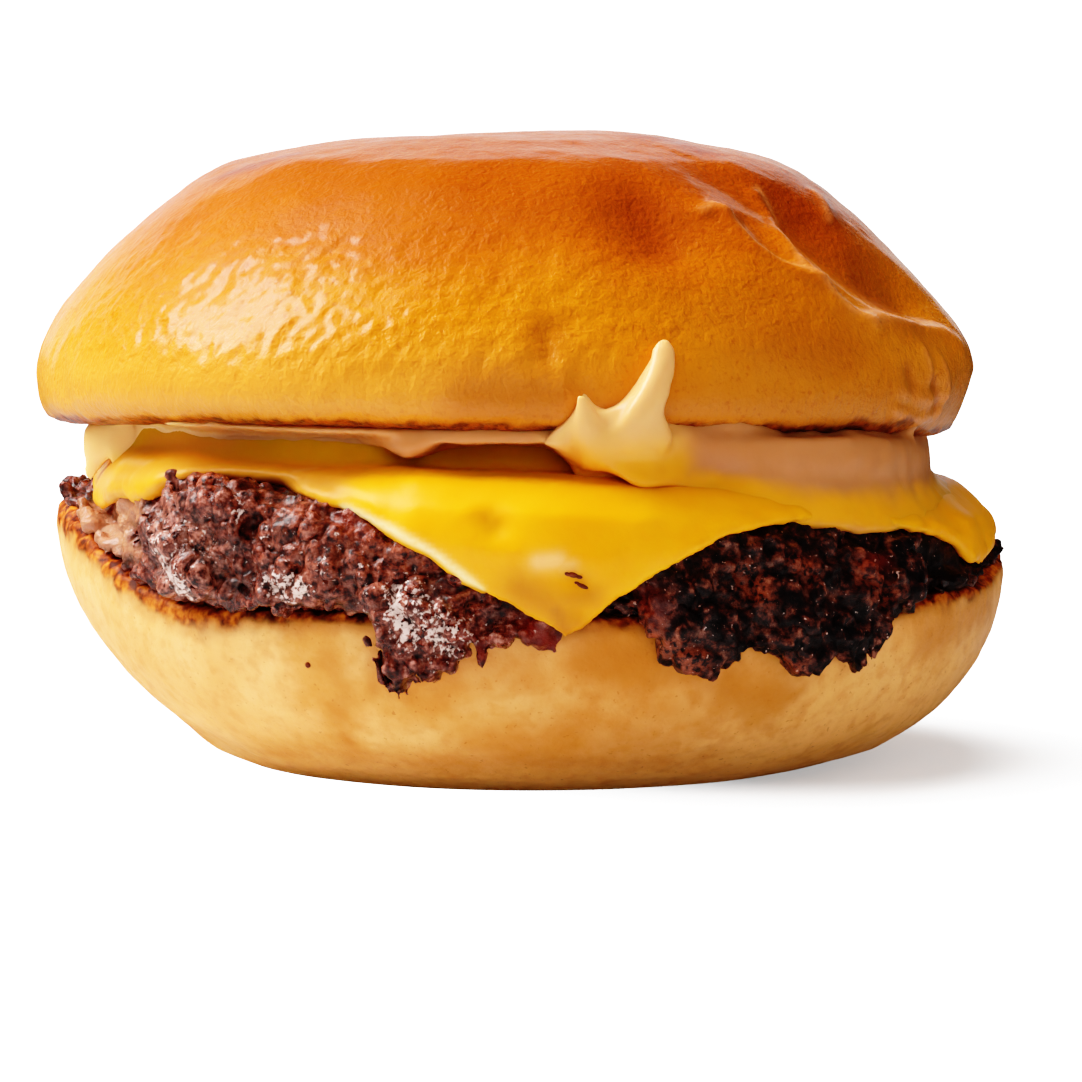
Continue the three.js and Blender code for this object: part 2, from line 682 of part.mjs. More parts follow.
// The face that the sauce lies on: the cheese and, past the cheese's edge, the patty.
function sauceBed(azimuth) {
  const face = pattyFace(azimuth);
  const reach = cheeseReach(azimuth);
  const { from, to, corners } = SAUCE.bed;
  const line = [face[0], face[1], ...pointsBetween(face, from, to, corners)];
  const depths = cornerLengths(line).map((length) => {
    const bare = smoothstep(length - reach, ...SAUCE.bareFrom);
    return GAP + (cheeseThickness(length, reach) + SAUCE.clearance) * (1 - bare);
  });
  return offsetPath(line, depths);
}

// The filling's section: it lies on the cheese and meets the crown's cut face. Over the cave
// only a thin lip of it is left under the crown.
function sauceSection(azimuth) {
  const { cave, lip, drip } = SAUCE;
  const reach = SAUCE.bandReach + sumOfWaves(azimuth, SAUCE.bandWaves);
  const hollow = within(azimuth, cave);
  const topAt = (radius) => new THREE.Vector2(radius, crownCut(azimuth, radius) - GAP);
  const path = sauceBed(azimuth);
  const inner = path.slice(0, -SAUCE.bed.corners + 1);
  const bed = [...inner, ...pointsBetween(path, SAUCE.outerFrom, reach, SAUCE.outerCorners)];
  const lipDepth = lip.thickness + drip.drop * bump(azimuth, drip.azimuth, drip.spread);
  const lipUnder = lip.radii.map((radius) => topAt(radius).setY(topAt(radius).y - lipDepth));
  const caveHeight = (bed[inner.length].y + lipUnder[0].y) / 2;
  const hollowed = [...inner, new THREE.Vector2(cave.radius, caveHeight), ...lipUnder];
  const under = bed.map((corner, index) => corner.clone().lerp(hollowed[index], hollow));
  const foot = under[under.length - 1];
  const lipRadius = lip.radii[lip.radii.length - 1] - lip.round;
  const edge = topAt(lerp(reach + SAUCE.edgeOverhang, lipRadius, hollow));
  const bellyRadius = Math.max(foot.x, edge.x) + SAUCE.bulge;
  const belly = new THREE.Vector2(bellyRadius, (foot.y + edge.y) / 2);
  const wall = new THREE.QuadraticBezierCurve(foot, belly, edge).getPoints(SAUCE.wallRings).slice(1);
  return [...under, ...wall, ...CUT_RADII.map(topAt).reverse()];
}

function splashRod(stations) {
  const route = stations.map(([azimuth, radius, height, half]) => ({
    centre: toSpace(azimuth, radius, height),
    radius: half,
  }));
  return rodThrough(route, SPLASH_SIDES);
}

// A trickle that runs down over the cheese's edge.
function trickleRod({ azimuth, from, to }) {
  const { halves, clearance, sides } = TRICKLES;
  const bed = pointsBetween(sauceBed(azimuth), from, to, halves.length);
  const axisEnd = new THREE.Vector2(0, bed[0].y);
  const line = offsetPath([axisEnd, ...bed], [0, ...halves.map((half) => half + clearance)]);
  const stations = halves.map((half, index) => {
    const { x, y } = line[index + 1];
    return { centre: toSpace(azimuth, x, y), radius: half };
  });
  return rodThrough(stations, sides);
}

function buildSauce() {
  const azimuths = azimuthsRound({ from: 173, to: 345, fineStep: 4.2, coarseStep: 9 });
  const filling = toManifold(solidOfSections(azimuths, sauceSection));
  const rods = [...SPLASHES.map(splashRod), ...TRICKLES.runs.map(trickleRod)];
  return fromManifold(rods.reduce((whole, rod) => whole.add(toManifold(rod)), filling));
}

// ---------------------------------------------------------------- the stack

function layer(name, geometry, finish) {
  geometry.computeVertexNormals();
  const mesh = new THREE.Mesh(geometry, new THREE.MeshStandardMaterial({ ...finish, metalness: 0 }));
  mesh.name = name;
  return mesh;
}

const burger = new THREE.Group();
burger.add(
  layer('bun_heel', buildHeel(), FINISHES.heel),
  layer('patty', buildPatty(), FINISHES.patty),
  layer('cheese', buildCheese(), FINISHES.cheese),
  layer('sauce', buildSauce(), FINISHES.sauce),
  layer('bun_crown', buildCrown(), FINISHES.crown),
);

// The burger stands on the ground with its middle over the origin.
const bounds = new THREE.Box3().setFromObject(burger);
const middle = bounds.getCenter(new THREE.Vector3());
burger.position.set(-middle.x, -middle.y, -bounds.min.z);

export default burger;
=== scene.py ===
"""The looks of the cheeseburger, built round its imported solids.

Each layer starts from a copy of its solid, is remeshed finely, smoothed and given the relief of real
food: a folded glazed crown, poured sauce, a melted slice, crumbly seared beef and a toasted heel.
Sizes inside this script are in millimetres until a mesh is made. Azimuths are in degrees round the
burger's upright axis, 0 at +X and 270 at the front.
"""

import itertools
import math

import bpy
import numpy as np
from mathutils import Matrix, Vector
from mathutils.bvhtree import BVHTree
from mathutils.kdtree import KDTree


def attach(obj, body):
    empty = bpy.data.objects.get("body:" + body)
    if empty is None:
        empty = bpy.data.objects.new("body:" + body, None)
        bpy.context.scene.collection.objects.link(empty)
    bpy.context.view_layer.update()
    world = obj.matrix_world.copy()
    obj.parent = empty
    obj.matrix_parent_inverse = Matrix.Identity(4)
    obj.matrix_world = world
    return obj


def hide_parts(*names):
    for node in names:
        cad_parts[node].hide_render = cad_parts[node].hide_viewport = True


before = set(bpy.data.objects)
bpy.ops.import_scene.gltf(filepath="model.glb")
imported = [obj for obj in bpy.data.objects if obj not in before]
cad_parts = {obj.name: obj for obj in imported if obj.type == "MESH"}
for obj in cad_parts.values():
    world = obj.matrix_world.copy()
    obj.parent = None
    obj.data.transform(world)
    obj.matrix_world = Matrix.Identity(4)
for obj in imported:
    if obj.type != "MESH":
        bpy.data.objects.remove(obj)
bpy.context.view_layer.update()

MM = 0.001
AXIS = np.array([-0.10, 1.69, 0.0])  # a point on the upright axis that the layers are built round

# The camera, in the row frame, and the picture that its pixels are counted in.
CAMERA_AT = np.array([2.18, -448.3, 65.0])
CAMERA_PITCH = 5.299  # degrees down from level
PICTURE_SIZE = 1082
FOCAL_PIXELS = 4140
SENSOR_WIDTH = 36.0
PIXELS_PER_MM = 9.2  # at the burger

FRONT_STEP = 2.0
FRONT_TURNS = np.arange(240, 330, FRONT_STEP)  # azimuths and levels at which a bun's front is measured
FRONT_LEVELS = np.arange(0, 24, 1.0)


# ---------------------------------------------------------------- noise and numbers

TABLE_SIZE = 256
table_random = np.random.default_rng(11)
SHUFFLE = table_random.permutation(TABLE_SIZE)
GRADIENTS = table_random.normal(size=(TABLE_SIZE, 3))
GRADIENTS /= np.linalg.norm(GRADIENTS, axis=1)[:, None]


def smooth_noise(points):
    """Gradient noise of about -1 to 1 at an array of points, in lumps one unit wide."""
    cells = np.floor(points).astype(int)
    shares = points - cells
    fades = shares**3 * (shares * (shares * 6 - 15) + 10)
    total = np.zeros(len(points))
    for corner in itertools.product((0, 1), repeat=3):
        index = np.zeros(len(points), int)
        for axis in range(3):
            index = SHUFFLE[(index + cells[:, axis] + corner[axis]) % TABLE_SIZE]
        slopes = np.einsum("ij,ij->i", GRADIENTS[index], shares - corner)
        total += slopes * np.prod(np.where(corner, fades, 1 - fades), axis=1)
    return 1.6 * total


def layered_noise(points, size, layers=3, offset=0.0):
    """Noise in lumps of a size, with finer layers of half the size and half the height on it."""
    total = np.zeros(len(points))
    for layer in range(layers):
        total += smooth_noise(points * 2**layer / size + offset + 17 * layer) / 2**layer
    return total


def eased(values, low, high):
    """0 below low, 1 above high and smooth in between. It falls where low is above high."""
    share = np.clip((values - low) / (high - low), 0, 1)
    return share * share * (3 - 2 * share)


def azimuths_of(points):
    return np.degrees(np.arctan2(points[:, 1] - AXIS[1], points[:, 0] - AXIS[0])) % 360


def radii_of(points):
    return np.hypot(points[:, 0] - AXIS[0], points[:, 1] - AXIS[1])


def polar(points):
    """The azimuths, the distances from the axis and the heights of points."""
    return azimuths_of(points), radii_of(points), points[:, 2]


def turn_from(azimuths, centre):
    """The unsigned turn in degrees from an azimuth."""
    return np.abs((azimuths - centre + 180) % 360 - 180)


def facing(azimuths, centre, far, near):
    """1 within the near turn from an azimuth, 0 beyond the far one and smooth in between."""
    return eased(turn_from(azimuths, centre), far, near)


def outward_at(azimuth):
    """The level unit vector away from the axis at an azimuth."""
    angle = math.radians(azimuth)
    return np.array([math.cos(angle), math.sin(angle), 0])


def spot_at(azimuth, reach, height):
    """The point at an azimuth, at a distance from the axis and at a height."""
    return AXIS + reach * outward_at(azimuth) + [0, 0, height]


def pull_in(points, distances):
    """Moves points towards the axis by distances."""
    shares = distances / np.maximum(radii_of(points), 1)
    points[:, :2] -= (points[:, :2] - AXIS[:2]) * shares[:, None]


def edge_heights(points, pick, among=True, step=5.0, reach=4.0):
    """The lowest or highest of some points round each azimuth, picked at even steps of azimuth."""
    azimuths = azimuths_of(points)
    bins = np.arange(0, 360, step)
    edge = [pick(points[among & (turn_from(azimuths, centre) < reach), 2]) for centre in bins]
    return np.interp(azimuths, bins, edge, period=360)


def distance_to_route(points, route):
    """Distances from points to a line of corners, or to a lone one."""
    if len(route) == 1:
        return np.linalg.norm(points - route[0], axis=1)
    nearest = np.full(len(points), np.inf)
    for start, end in zip(route[:-1], route[1:]):
        along = end - start
        share = np.clip((points - start) @ along / (along @ along), 0, 1)
        gap = np.linalg.norm(points - start - share[:, None] * along, axis=1)
        nearest = np.minimum(nearest, gap)
    return nearest


# ---------------------------------------------------------------- meshes


def read_all(items, field, width, kind):
    """A field of all the vertices, edges or triangles of a mesh, as the rows of an array."""
    flat = np.empty(width * len(items), kind)
    items.foreach_get(field, flat)
    return flat.reshape(-1, width)


def points_of(piece):
    return read_all(piece.data.vertices, "co", 3, np.float32).astype(float) / MM


def move_points(piece, points):
    piece.data.vertices.foreach_set("co", (points * MM).astype(np.float32).ravel())
    piece.data.update()


def normals_of(piece):
    return read_all(piece.data.vertex_normals, "vector", 3, np.float32).astype(float)


def edges_of(piece):
    return read_all(piece.data.edges, "vertices", 2, np.int32)


def triangles_of(piece):
    piece.data.calc_loop_triangles()
    return read_all(piece.data.loop_triangles, "vertices", 3, np.int32)


def new_piece(name, points, triangles):
    mesh = bpy.data.meshes.new(name)
    mesh.vertices.add(len(points))
    mesh.vertices.foreach_set("co", (points * MM).astype(np.float32).ravel())
    mesh.loops.add(3 * len(triangles))
    mesh.loops.foreach_set("vertex_index", triangles.astype(np.int32).ravel())
    mesh.polygons.add(len(triangles))
    mesh.polygons.foreach_set("loop_start", np.arange(0, 3 * len(triangles), 3, dtype=np.int32))
    mesh.update(calc_edges=True)
    piece = bpy.data.objects.new(name, mesh)
    bpy.context.scene.collection.objects.link(piece)
    return piece


def with_modifier(piece, kind, **settings):
    """The piece with one modifier applied to its mesh."""
    modifier = piece.modifiers.new(kind.lower(), kind)
    for key, value in settings.items():
        setattr(modifier, key, value)
    bpy.context.view_layer.update()
    graph = bpy.context.evaluated_depsgraph_get()
    finished = bpy.data.meshes.new_from_object(piece.evaluated_get(graph))
    rough = piece.data
    piece.modifiers.clear()
    piece.data = finished
    bpy.data.meshes.remove(rough)
    return piece


def remeshed(piece, voxel):
    return with_modifier(piece, "REMESH", mode="VOXEL", voxel_size=voxel * MM)


def subdivided(piece):
    return with_modifier(piece, "SUBSURF", levels=1, render_levels=1)


def relax(piece, rounds, weights=1.0):
    """Evens out the surface: each round moves every point half way to its neighbours' middle."""
    points = points_of(piece)
    first, second = edges_of(piece).T
    count = len(points)
    degree = np.bincount(first, minlength=count) + np.bincount(second, minlength=count)
    pull = 0.5 * np.broadcast_to(weights, count)[:, None]
    for _ in range(rounds):
        total = np.empty_like(points)
        for axis in range(3):
            total[:, axis] = np.bincount(first, points[second, axis], count)
            total[:, axis] += np.bincount(second, points[first, axis], count)
        points += pull * (total / degree[:, None] - points)
    move_points(piece, points)


def thin_out(piece, most):
    """Merges faces, first where the surface is flattest, until the piece has few enough triangles."""
    count = len(triangles_of(piece))
    if count > most:
        with_modifier(piece, "DECIMATE", ratio=most / count)


def push_out(piece, distances):
    move_points(piece, points_of(piece) + normals_of(piece) * distances[:, None])


def paint(piece, **layers):
    """Stores values for each point of the mesh, which the piece's material reads by name."""
    for name, values in layers.items():
        layer = piece.data.attributes.new(name, "FLOAT", "POINT")
        layer.data.foreach_set("value", np.asarray(values, np.float32))


def shade_smooth(piece):
    piece.data.polygons.foreach_set("use_smooth", np.ones(len(piece.data.polygons), bool))


def tree_of(piece):
    points = [Vector(point) for point in points_of(piece)]
    return BVHTree.FromPolygons(points, triangles_of(piece).tolist())


def seen_at(tree, column, row):
    """Where the camera's ray through a pixel of the picture meets a surface."""
    pitch = math.radians(CAMERA_PITCH)
    forward = np.array([0, math.cos(pitch), -math.sin(pitch)])
    up = np.array([0, math.sin(pitch), math.cos(pitch)])
    right = np.array([1.0, 0, 0])
    middle = PICTURE_SIZE / 2
    ray = FOCAL_PIXELS * forward + (column - middle) * right + (middle - row) * up
    spot, normal, _, _ = tree.ray_cast(Vector(CAMERA_AT), Vector(ray).normalized())
    return (np.array(spot), np.array(normal)) if spot else (None, None)


def seen_route(tree, pixels):
    spots = [seen_at(tree, column, row)[0] for column, row in pixels]
    return np.array([spot for spot in spots if spot is not None])


def gaps_to_route(points, tree, pixels):
    """The distance from each point to a route of picture pixels on a surface."""
    return distance_to_route(points, seen_route(tree, pixels))


def patches_at(points, tree, patches, frayed=1.0):
    """How strong each of several soft-edged patches is at each point. A patch is a route of picture
    pixels on the surface, a width in millimetres and a strength."""
    for route, width, strength in patches:
        gap = gaps_to_route(points, tree, route) * frayed
        yield strength * np.exp(-((gap / width) ** 2))


def greatest(points, tree, patches, frayed=1.0):
    """The strongest of several patches at each point."""
    return np.max(list(patches_at(points, tree, patches, frayed)), axis=0)


def gaps_to(tree, points):
    """The distance from each point to a surface."""
    return np.array([tree.find_nearest(Vector(point))[3] for point in points])


def reach_at(tree, azimuth, height):
    """How far out a surface is at an azimuth and a height, or 0 where there is nothing."""
    start, inward = Vector(spot_at(azimuth, 100, height)), Vector(-outward_at(azimuth))
    spot = tree.ray_cast(start, inward, 70)[0]
    return 0.0 if spot is None else float(np.hypot(*(np.array(spot) - AXIS)[:2]))


def front_reaches(tree, azimuths, heights, lowest, rising):
    """How far out a bun's front is at points, read from a grid whose gaps take the level before."""
    levels = lowest + FRONT_LEVELS
    grid = np.array([[reach_at(tree, turn, level) for level in levels] for turn in FRONT_TURNS])
    order = range(1, len(levels)) if rising else range(len(levels) - 2, -1, -1)
    before = -1 if rising else 1
    for column in order:
        grid[:, column] = np.maximum(grid[:, column], grid[:, column + before] - 0.5)
    rows = np.clip((azimuths - FRONT_TURNS[0]) / FRONT_STEP, 0, len(FRONT_TURNS) - 1.001)
    columns = np.clip(heights - levels[0], 0, len(levels) - 1.001)
    row, column = rows.astype(int), columns.astype(int)
    down, across = rows - row, columns - column
    near = grid[row, column] * (1 - across) + grid[row, column + 1] * across
    far = grid[row + 1, column] * (1 - across) + grid[row + 1, column + 1] * across
    return near * (1 - down) + far * down


def ball_template(rings=6, sides=8):
    """The points and triangles of a unit ball."""
    points = [(0, 0, -1), (0, 0, 1)]
    for ring in range(1, rings):
        slant = math.pi * ring / rings
        across = math.sin(slant)
        for side in range(sides):
            angle = 2 * math.pi * side / sides
            points.append((across * math.cos(angle), across * math.sin(angle), -math.cos(slant)))
    triangles = []
    for side in range(sides):
        following = (side + 1) % sides
        last = 2 + (rings - 2) * sides
        triangles.append((0, 2 + following, 2 + side))
        triangles.append((1, last + side, last + following))
        for ring in range(rings - 2):
            here = 2 + ring * sides
            corners = (here + side, here + following, here + sides + following, here + sides + side)
            triangles.append((corners[0], corners[1], corners[2]))
            triangles.append((corners[0], corners[2], corners[3]))
    return np.array(points), np.array(triangles)


def balls(centres, radii, stretches=None):
    """Points and triangles of many balls. A stretch is a vector that a ball is drawn out along."""
    unit, faces = ball_template()
    centres = np.asarray(centres, float)
    radii = np.asarray(radii, float)
    shapes = unit[None] * radii[:, None, None]
    if stretches is not None:
        stretches = np.asarray(stretches, float)
        shapes = shapes + (unit[None] @ stretches[:, :, None]) * stretches[:, None, :]
    points = (centres[:, None] + shapes).reshape(-1, 3)
    offsets = np.arange(len(centres))[:, None, None] * len(unit)
    return points, (faces[None] + offsets).reshape(-1, 3)


def beads_along(route, radii, spacing=0.45):
    """Closely spaced balls along a route, whose radius goes evenly from corner to corner."""
    centres, sizes = [], []
    for index in range(len(route) - 1):
        start, end = np.array(route[index], float), np.array(route[index + 1], float)
        steps = max(1, int(np.linalg.norm(end - start) / (spacing * min(radii[index : index + 2]))))
        for step in range(steps):
            share = step / steps
            centres.append(start + share * (end - start))
            sizes.append(radii[index] + share * (radii[index + 1] - radii[index]))
    centres.append(np.array(route[-1], float))
    sizes.append(radii[-1])
    return centres, sizes


ROWS_ABOVE = 12  # how much higher a bead's normal is read where its own pixel misses the surface


def clinging_beads(tree, runs, sunk):
    """Runs of balls along a surface, at picture pixels with radii, sunk by a share of their radius."""
    centres, sizes = [], []
    for run in runs:
        route, radii = [], []
        for column, row, radius in run:
            spot, normal = seen_at(tree, column, row)
            if spot is None:
                spot, normal = seen_at(tree, column, row - ROWS_ABOVE)
                spot = spot - [0, 0, ROWS_ABOVE / PIXELS_PER_MM]
            route.append(spot - normal * sunk * radius)
            radii.append(radius)
        more_centres, more_sizes = beads_along(route, radii)
        centres += more_centres
        sizes += more_sizes
    return balls(centres, sizes)


def copy_with(name, node, *extras):
    """A new piece from a node's solid, with more closed bodies, as points and triangles, added."""
    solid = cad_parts[node]
    all_points = [points_of(solid)]
    all_triangles = [triangles_of(solid)]
    for points, triangles in extras:
        all_triangles.append(triangles + sum(len(group) for group in all_points))
        all_points.append(points)
    piece = new_piece(name, np.concatenate(all_points), np.concatenate(all_triangles))
    return with_modifier(piece, "WELD", merge_threshold=1e-6)


def dress(piece, material, node=None):
    """Hands a finished piece over to the frame, in a node's place where it stands for one."""
    piece.data.materials.clear()
    piece.data.materials.append(material)
    shade_smooth(piece)
    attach(piece, "root")
    if node:
        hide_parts(node)
    return piece


# ---------------------------------------------------------------- materials


def linear(red, green, blue):
    """A colour given in 0 to 255 display values, as the linear values that nodes hold."""
    parts = [value / 255 for value in (red, green, blue)]
    return tuple(p / 12.92 if p <= 0.04045 else ((p + 0.055) / 1.055) ** 2.4 for p in parts) + (1,)


class Shader:
    """A material's node graph, with one short call for each kind of node it uses."""

    def __init__(self, name, **constants):
        self.material = bpy.data.materials.new(name)
        self.material.use_nodes = True
        self.tree = self.material.node_tree
        self.surface = self.tree.nodes["Principled BSDF"]
        for socket, value in constants.items():
            self.surface.inputs[socket.replace("_", " ")].default_value = value
        self.place = self.add("ShaderNodeTexCoord").outputs["Object"]

    def add(self, kind, inputs=(), **settings):
        node = self.tree.nodes.new(kind)
        for key, value in settings.items():
            setattr(node, key, value)
        for key, value in dict(inputs).items():
            self.feed(node.inputs[key], value)
        return node

    def feed(self, socket, value):
        if isinstance(value, bpy.types.NodeSocket):
            self.tree.links.new(value, socket)
        else:
            socket.default_value = value

    def noise(self, size, detail=2.0, roughness=0.5, stretch=(1, 1, 1), distortion=0.0):
        """Noise in lumps of a size in millimetres, drawn out by the stretch along each axis."""
        scale = [1 / (MM * size * part) for part in stretch]
        mapped = self.add("ShaderNodeMapping", {"Vector": self.place, "Scale": scale})
        inputs = {"Vector": mapped.outputs[0], "Scale": 1.0, "Detail": detail}
        inputs.update({"Roughness": roughness, "Distortion": distortion})
        return self.add("ShaderNodeTexNoise", inputs).outputs[0]

    def painted(self, name):
        return self.add("ShaderNodeAttribute", attribute_name=name).outputs["Fac"]

    def height(self):
        """The height above the ground in millimetres."""
        upright = self.add("ShaderNodeSeparateXYZ", {0: self.place}).outputs["Z"]
        return self.math("MULTIPLY", upright, 1 / MM)

    def distance_from(self, spot):
        """The distance in metres from a spot."""
        inputs = {0: self.place, 1: spot}
        return self.add("ShaderNodeVectorMath", inputs, operation="DISTANCE").outputs["Value"]

    def math(self, operation, first, second=0.0, third=0.0):
        node = self.add("ShaderNodeMath", {0: first, 1: second, 2: third}, operation=operation)
        return node.outputs[0]

    def between(self, value, low, high, start=0.0, end=1.0):
        """The value's place between low and high, from start to end and no further."""
        inputs = {"Value": value, "From Min": low, "From Max": high, "To Min": start, "To Max": end}
        return self.add("ShaderNodeMapRange", inputs, interpolation_type="SMOOTHSTEP").outputs[0]

    def mix(self, share, first, second):
        inputs = {0: share, 6: first, 7: second}
        return self.add("ShaderNodeMix", inputs, data_type="RGBA").outputs[2]

    def tinted(self, colour, *tints):
        """The colour under tints, each as strong as the values painted under its name."""
        for name, *tint in tints:
            colour = self.mix(self.painted(name), colour, linear(*tint))
        return colour

    def ramp(self, value, *stops):
        """A colour that goes from stop to stop as the value goes through their places."""
        node = self.add("ShaderNodeValToRGB", {0: value})
        elements = node.color_ramp.elements
        while len(elements) < len(stops):
            elements.new(0.5)
        for element, (place, *colour) in zip(elements, stops):
            element.position = place
            element.color = linear(*colour)
        return node.outputs[0]

    def bumps(self, *reliefs):
        """A normal with reliefs on it, each a height from 0 to 1 and a depth in millimetres."""
        normal = None
        for height, depth in reliefs:
            inputs = {"Strength": 1.0, "Distance": depth * MM, "Height": height}
            if normal is not None:
                inputs["Normal"] = normal
            normal = self.add("ShaderNodeBump", inputs).outputs[0]
        return normal

    def finish(self, **links):
        for socket, value in links.items():
            self.feed(self.surface.inputs[socket.replace("_", " ")], value)
        return self.material


def crown_material():
    shader = Shader(
        "crown_crust",
        Coat_Weight=0.42,
        Coat_Roughness=0.17,
        Coat_IOR=1.5,
        Specular_IOR_Level=0.12,
        Subsurface_Weight=0.12,
        Subsurface_Radius=(0.0030, 0.0014, 0.0005),
        Subsurface_Scale=0.6,
    )
    streaks = shader.noise(2.2, detail=3)
    uneven = shader.height()
    for unevenness, depth in ((shader.noise(14, detail=3), 11.0), (streaks, 3.0)):
        centred = shader.math("SUBTRACT", unevenness, 0.5)
        uneven = shader.math("MULTIPLY_ADD", centred, depth, uneven)
    baked = shader.ramp(
        shader.between(uneven, 36, 68),
        (0.0, 206, 128, 48),
        (0.22, 199, 116, 28),
        (0.45, 186, 103, 13),
        (0.72, 166, 81, 7),
        (1.0, 138, 60, 4),
    )
    speckles = shader.between(shader.noise(0.6, 3), 0.55, 0.72, 0, 0.32)
    crust = shader.tinted(
        shader.mix(speckles, baked, linear(140, 56, 8)),
        # pale: painted light, a paler crust low on the lit left side.
        ("pale", 226, 142, 62),
        # baked_dark: baked spots, plus painted shade in dents and on the shaded right side.
        ("baked_dark", 118, 42, 4),
        # crest: a painted highlight along the folds' crests.
        ("crest", 212, 132, 84),
    )
    scorched = shader.ramp(shader.noise(0.9, detail=3), (0.4, 84, 30, 8), (0.62, 150, 70, 18))
    toasted = shader.mix(shader.painted("toast"), crust, scorched)
    bread = shader.tinted(toasted, ("crumb", 206, 160, 100))
    wrinkles = shader.noise(0.8, detail=4, stretch=(1, 1, 1.6), distortion=0.5)
    relief = shader.bumps((wrinkles, 0.2), (shader.noise(0.5, detail=3), 0.11))
    roughness = shader.between(streaks, 0.3, 0.7, 0.32, 0.46)
    return shader.finish(Base_Color=bread, Roughness=roughness, Normal=relief)


def heel_material():
    shader = Shader(
        "heel_crust",
        Specular_IOR_Level=0.25,
        Subsurface_Weight=0.15,
        Subsurface_Radius=(0.0030, 0.0016, 0.0006),
        Subsurface_Scale=0.6,
    )
    blotches = shader.noise(9, detail=4)
    pale = shader.ramp(blotches, (0.32, 230, 167, 104), (0.5, 214, 145, 80), (0.68, 196, 124, 56))
    # floury: painted light, a paler crust on the right, the left side and the bottom.
    floured = shader.tinted(pale, ("floury", 238, 176, 108))
    mottles = shader.between(shader.noise(1.6, detail=4), 0.42, 0.74, 0, 0.45)
    mottled = shader.mix(mottles, floured, linear(196, 122, 54))
    flecks = shader.between(shader.noise(0.5, detail=2), 0.66, 0.74, 0, 0.45)
    flecked = shader.mix(flecks, mottled, linear(150, 88, 34))
    crust = shader.tinted(flecked, ("grease", 168, 94, 14), ("browned", 120, 62, 22))
    scorched = shader.ramp(
        shader.noise(1.1, detail=4), (0.38, 70, 22, 6), (0.5, 134, 56, 14), (0.66, 190, 104, 36)
    )
    toasted = shader.mix(shader.painted("toast"), crust, scorched)
    relief = shader.bumps((shader.noise(1.2, detail=4), 0.10), (shader.noise(0.35, detail=2), 0.03))
    roughness = shader.between(blotches, 0.3, 0.7, 0.5, 0.65)
    return shader.finish(Base_Color=toasted, Roughness=roughness, Normal=relief)


def cheese_material():
    shader = Shader(
        "melted_cheese",
        Roughness=0.42,
        Specular_IOR_Level=0.3,
        Subsurface_Weight=0.3,
        Subsurface_Radius=(0.0040, 0.0022, 0.0004),
        Subsurface_Scale=0.7,
    )
    colour = shader.tinted(
        shader.ramp(shader.noise(7, detail=2), (0.3, 234, 152, 20), (0.7, 228, 144, 12)),
        # deep: painted shade on the cheese in the hollow under the sauce's lip.
        ("deep", 200, 142, 8),
        # film: sauce that films the slice, and one strip of painted shade.
        ("film", 206, 140, 70),
        # pale: painted light along the slice's cut edge.
        ("pale", 246, 212, 150),
        # smear: painted highlights on the slice.
        ("smear", 244, 184, 128),
        # stain: greasy spots, and painted shade under the lip and the brow.
        ("stain", 166, 100, 18),
    )
    relief = shader.bumps((shader.noise(1.5, detail=3), 0.05))
    return shader.finish(Base_Color=colour, Normal=relief)


def sauce_material():
    shader = Shader(
        "burger_sauce",
        Roughness=0.36,
        Specular_IOR_Level=0.4,
        Coat_Weight=0.08,
        Coat_Roughness=0.2,
        Subsurface_Weight=0.3,
        Subsurface_Radius=(0.0035, 0.0020, 0.0010),
        Subsurface_Scale=0.7,
    )
    colour = shader.tinted(
        shader.ramp(shader.noise(5, detail=3), (0.3, 206, 142, 94), (0.7, 196, 130, 78)),
        # thin: painted shade on the band of sauce at the shaded right side.
        ("thin", 176, 114, 72),
        # bright: painted light on the splash's finger and the sauce's left end.
        ("bright", 238, 182, 116),
        ("cheesy", 230, 152, 26),
    )
    relief = shader.bumps((shader.noise(1.8, detail=3), 0.04))
    return shader.finish(Base_Color=colour, Normal=relief)


